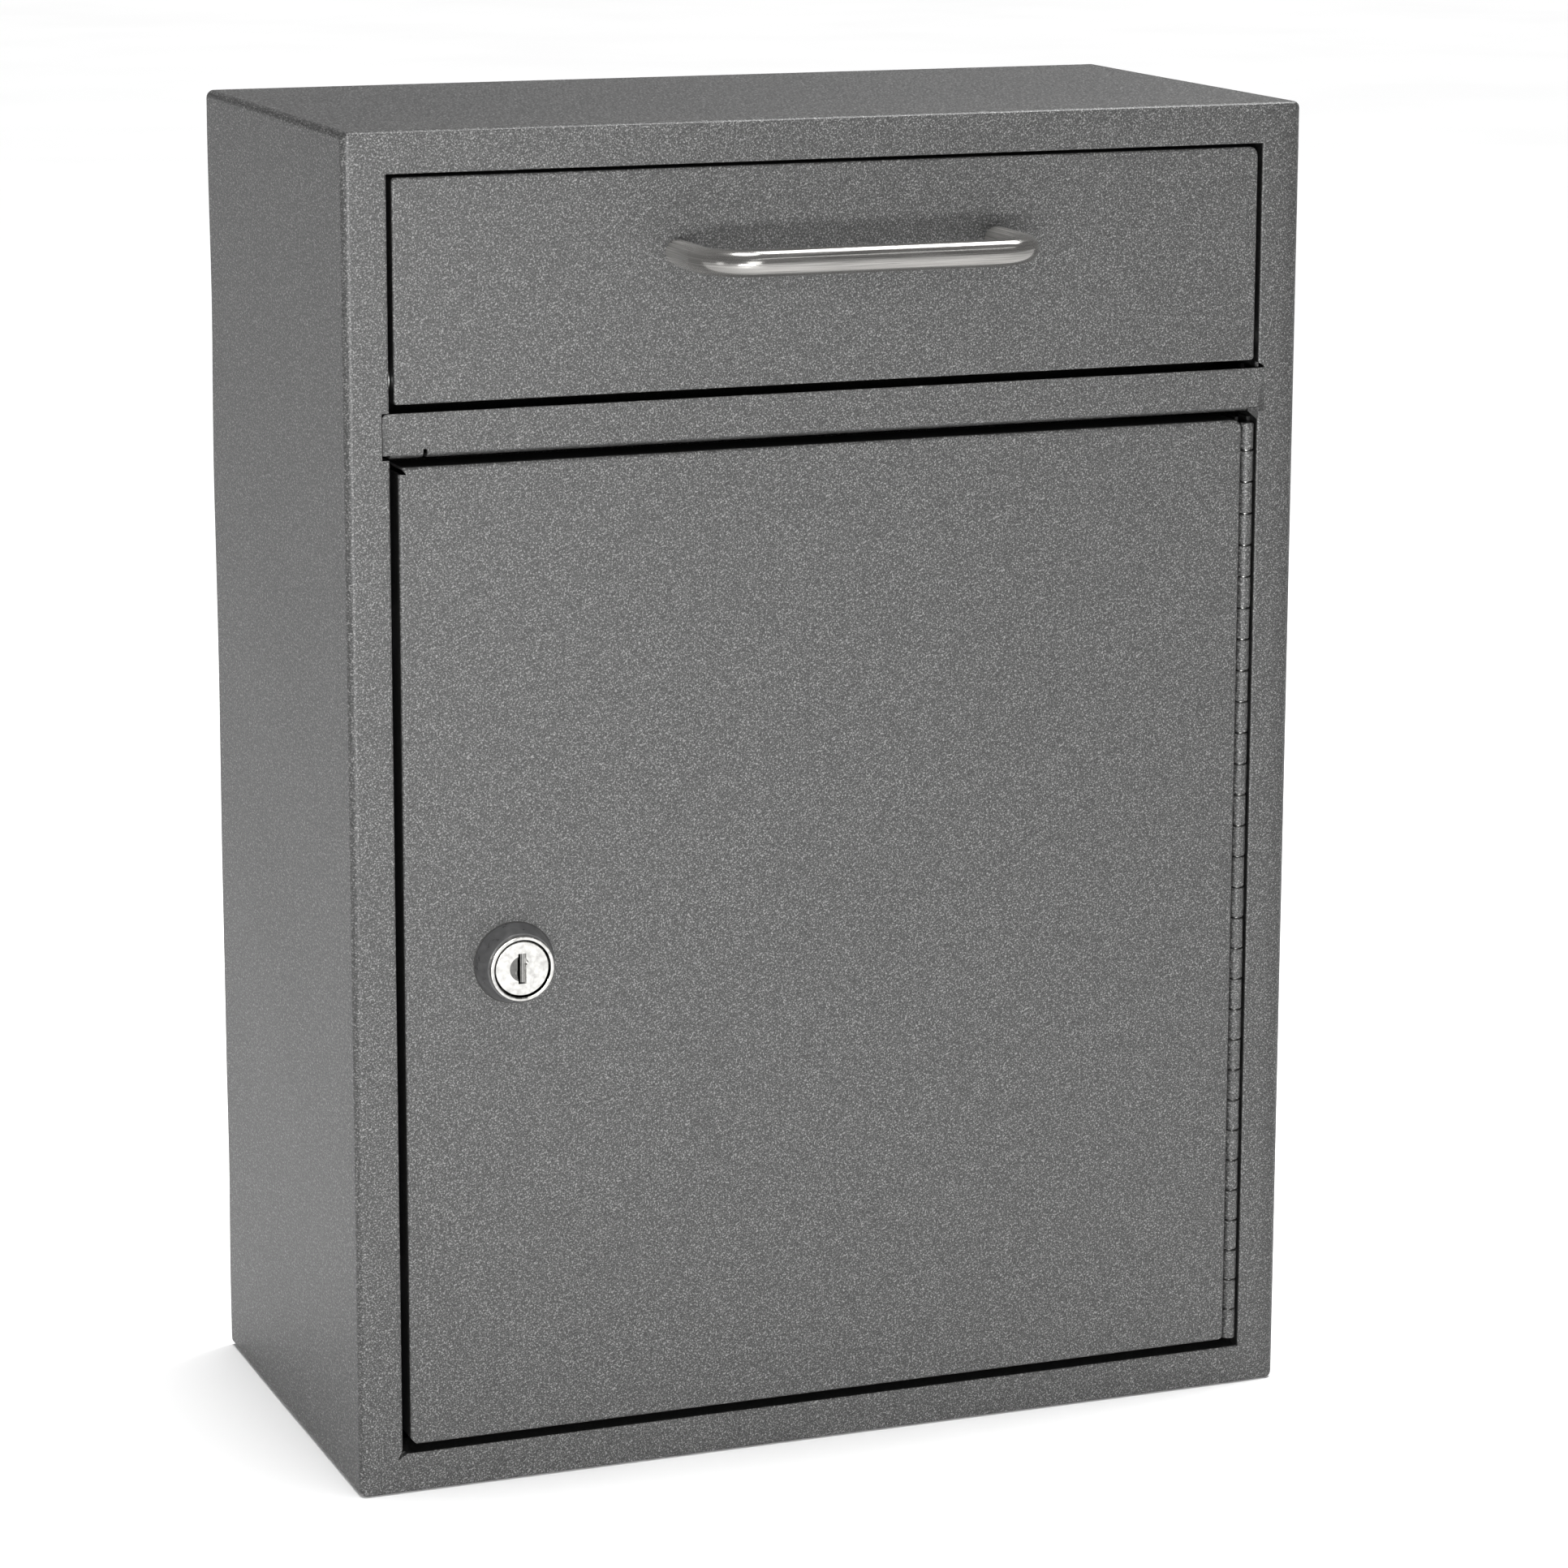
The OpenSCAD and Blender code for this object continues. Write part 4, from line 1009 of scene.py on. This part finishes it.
# ---- Key plug and cam ----
# The plug turns in the barrel with the key. Its nickel face has a keyway with a ribbed shutter in it
# and a half round thumb recess. A stamped cam on its square tail swings behind the jamb.
plug_low, plug_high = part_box("lock_plug")
cam_low, cam_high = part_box("lock_cam")
plug_face = plug_low.y
plug_rim = (plug_high.x - plug_low.x) / 2
step_y = plug_face + 2.6 * mm
tail_y = cam_low.y - 0.1 * mm
body_r = 6.05 * mm
plug_profile = [(0, plug_face), (plug_rim - 0.55 * mm, plug_face),
                (plug_rim - 0.42 * mm, plug_face + 0.05 * mm),
                (plug_rim - 0.05 * mm, plug_face + 0.42 * mm), (plug_rim, plug_face + 0.5 * mm),
                (plug_rim, plug_face + 0.6 * mm), (plug_rim, step_y), (body_r, step_y),
                (body_r, tail_y - soft), (body_r - soft, tail_y), (0, tail_y)]
plug = turned("key_plug", plug_profile, key_x, key_z, 96)
tail = 3.5 * mm
work_on(plug, [block((key_x - tail, tail_y - mm, key_z - tail),
                     (key_x + tail, plug_high.y, key_z + tail), soft)], "UNION")
slot_half = 1.25 * mm
slot_tall = 4.6 * mm
nib = 0.65 * mm


def half_round(radius, deep):
    """A cutter for one step of the thumb recess on the left of the keyway."""
    turn = [math.radians(90 + 180 * k / 24) for k in range(25)]
    return prism("thumb", [(key_x + radius * math.cos(a), key_z + radius * math.sin(a)) for a in turn],
                 "y", plug_face - mm, plug_face + deep)


# The keyway's outline has a round nib high on the right and another low on the left.
key_shape = [(-slot_half, -slot_tall), (slot_half, -slot_tall)]
key_shape += [(slot_half + nib * math.sin(math.radians(30 * k)), 0.9 * mm + 2.0 * mm * k / 6)
              for k in range(7)]
key_shape += [(slot_half, slot_tall), (-slot_half, slot_tall)]
key_shape += [(-slot_half - nib * math.sin(math.radians(30 * k)), -0.6 * mm - 1.8 * mm * k / 6)
              for k in range(7)]
cutters = [prism("keyway", [(key_x + x, key_z + z) for x, z in key_shape],
                 "y", plug_face - mm, plug_face + 0.9 * mm),
           half_round(3.9 * mm, 0.35 * mm), half_round(3.3 * mm, 0.8 * mm)]
# Behind the outline a ribbed dust shutter covers the right side and leaves a deep slot on the left.
for left, right, deep in ((-1.2, -0.45, 9.0), (-0.05, 0.12, 1.25), (0.62, 0.74, 1.2)):
    cutters.append(block((key_x + left * mm, plug_face + 0.7 * mm, key_z - slot_tall + 0.05 * mm),
                         (key_x + right * mm, plug_face + deep * mm, key_z + slot_tall - 0.05 * mm)))
work_on(plug, cutters)
# Painted shade in the plug's keyway and thumb recess.
shade_lock_recesses(plug, plug_face)
fit(plug, "lock_key_plug", nickel, "nickel", "lock_plug")

cam_half = 6 * mm
cam_tip = 38 * mm
hub_r = 8.5 * mm
lean = math.acos(cam_half / hub_r)
hub_turn = [-lean + (math.pi + 2 * lean) * k / 40 for k in range(41)]
tip_turn = [math.pi * k / 20 for k in range(21)]
cam_shape = [(hub_r * math.cos(a), hub_r * math.sin(a)) for a in hub_turn]
cam_shape += [(-cam_half * math.cos(a), -cam_tip - cam_half * math.sin(a)) for a in tip_turn]
cam = prism("cam", [(key_x + x, key_z + z) for x, z in cam_shape], "y", cam_low.y, cam_high.y, 0.15 * mm)
square = 3.6 * mm
work_on(cam, [block((key_x - square, cam_low.y - mm, key_z - square),
                    (key_x + square, cam_high.y + mm, key_z + square))])
fit(cam, "lock_key_plug", zinc, "zinc_steel", "lock_cam")

ring_low, ring_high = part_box("cam_washer")
cam_ring_profile = [(2.2 * mm, ring_low.y), (5.35 * mm, ring_low.y), (5.5 * mm, ring_low.y + 0.12 * mm),
                    (5.5 * mm, ring_high.y - 0.12 * mm), (5.35 * mm, ring_high.y), (2.2 * mm, ring_high.y)]
fit(turned("cam_ring", cam_ring_profile, key_x, key_z), "lock_key_plug", zinc, "zinc_steel", "cam_washer")
bolt_low, bolt_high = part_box("cam_screw")
bolt = pan_screw("cam_bolt", key_x, key_z, bolt_low.y, ring_high.y, bolt_high.y, 2 * mm, 4.2 * mm, 0.7 * mm)
fit(bolt, "lock_key_plug", zinc, "zinc_steel", "cam_screw")
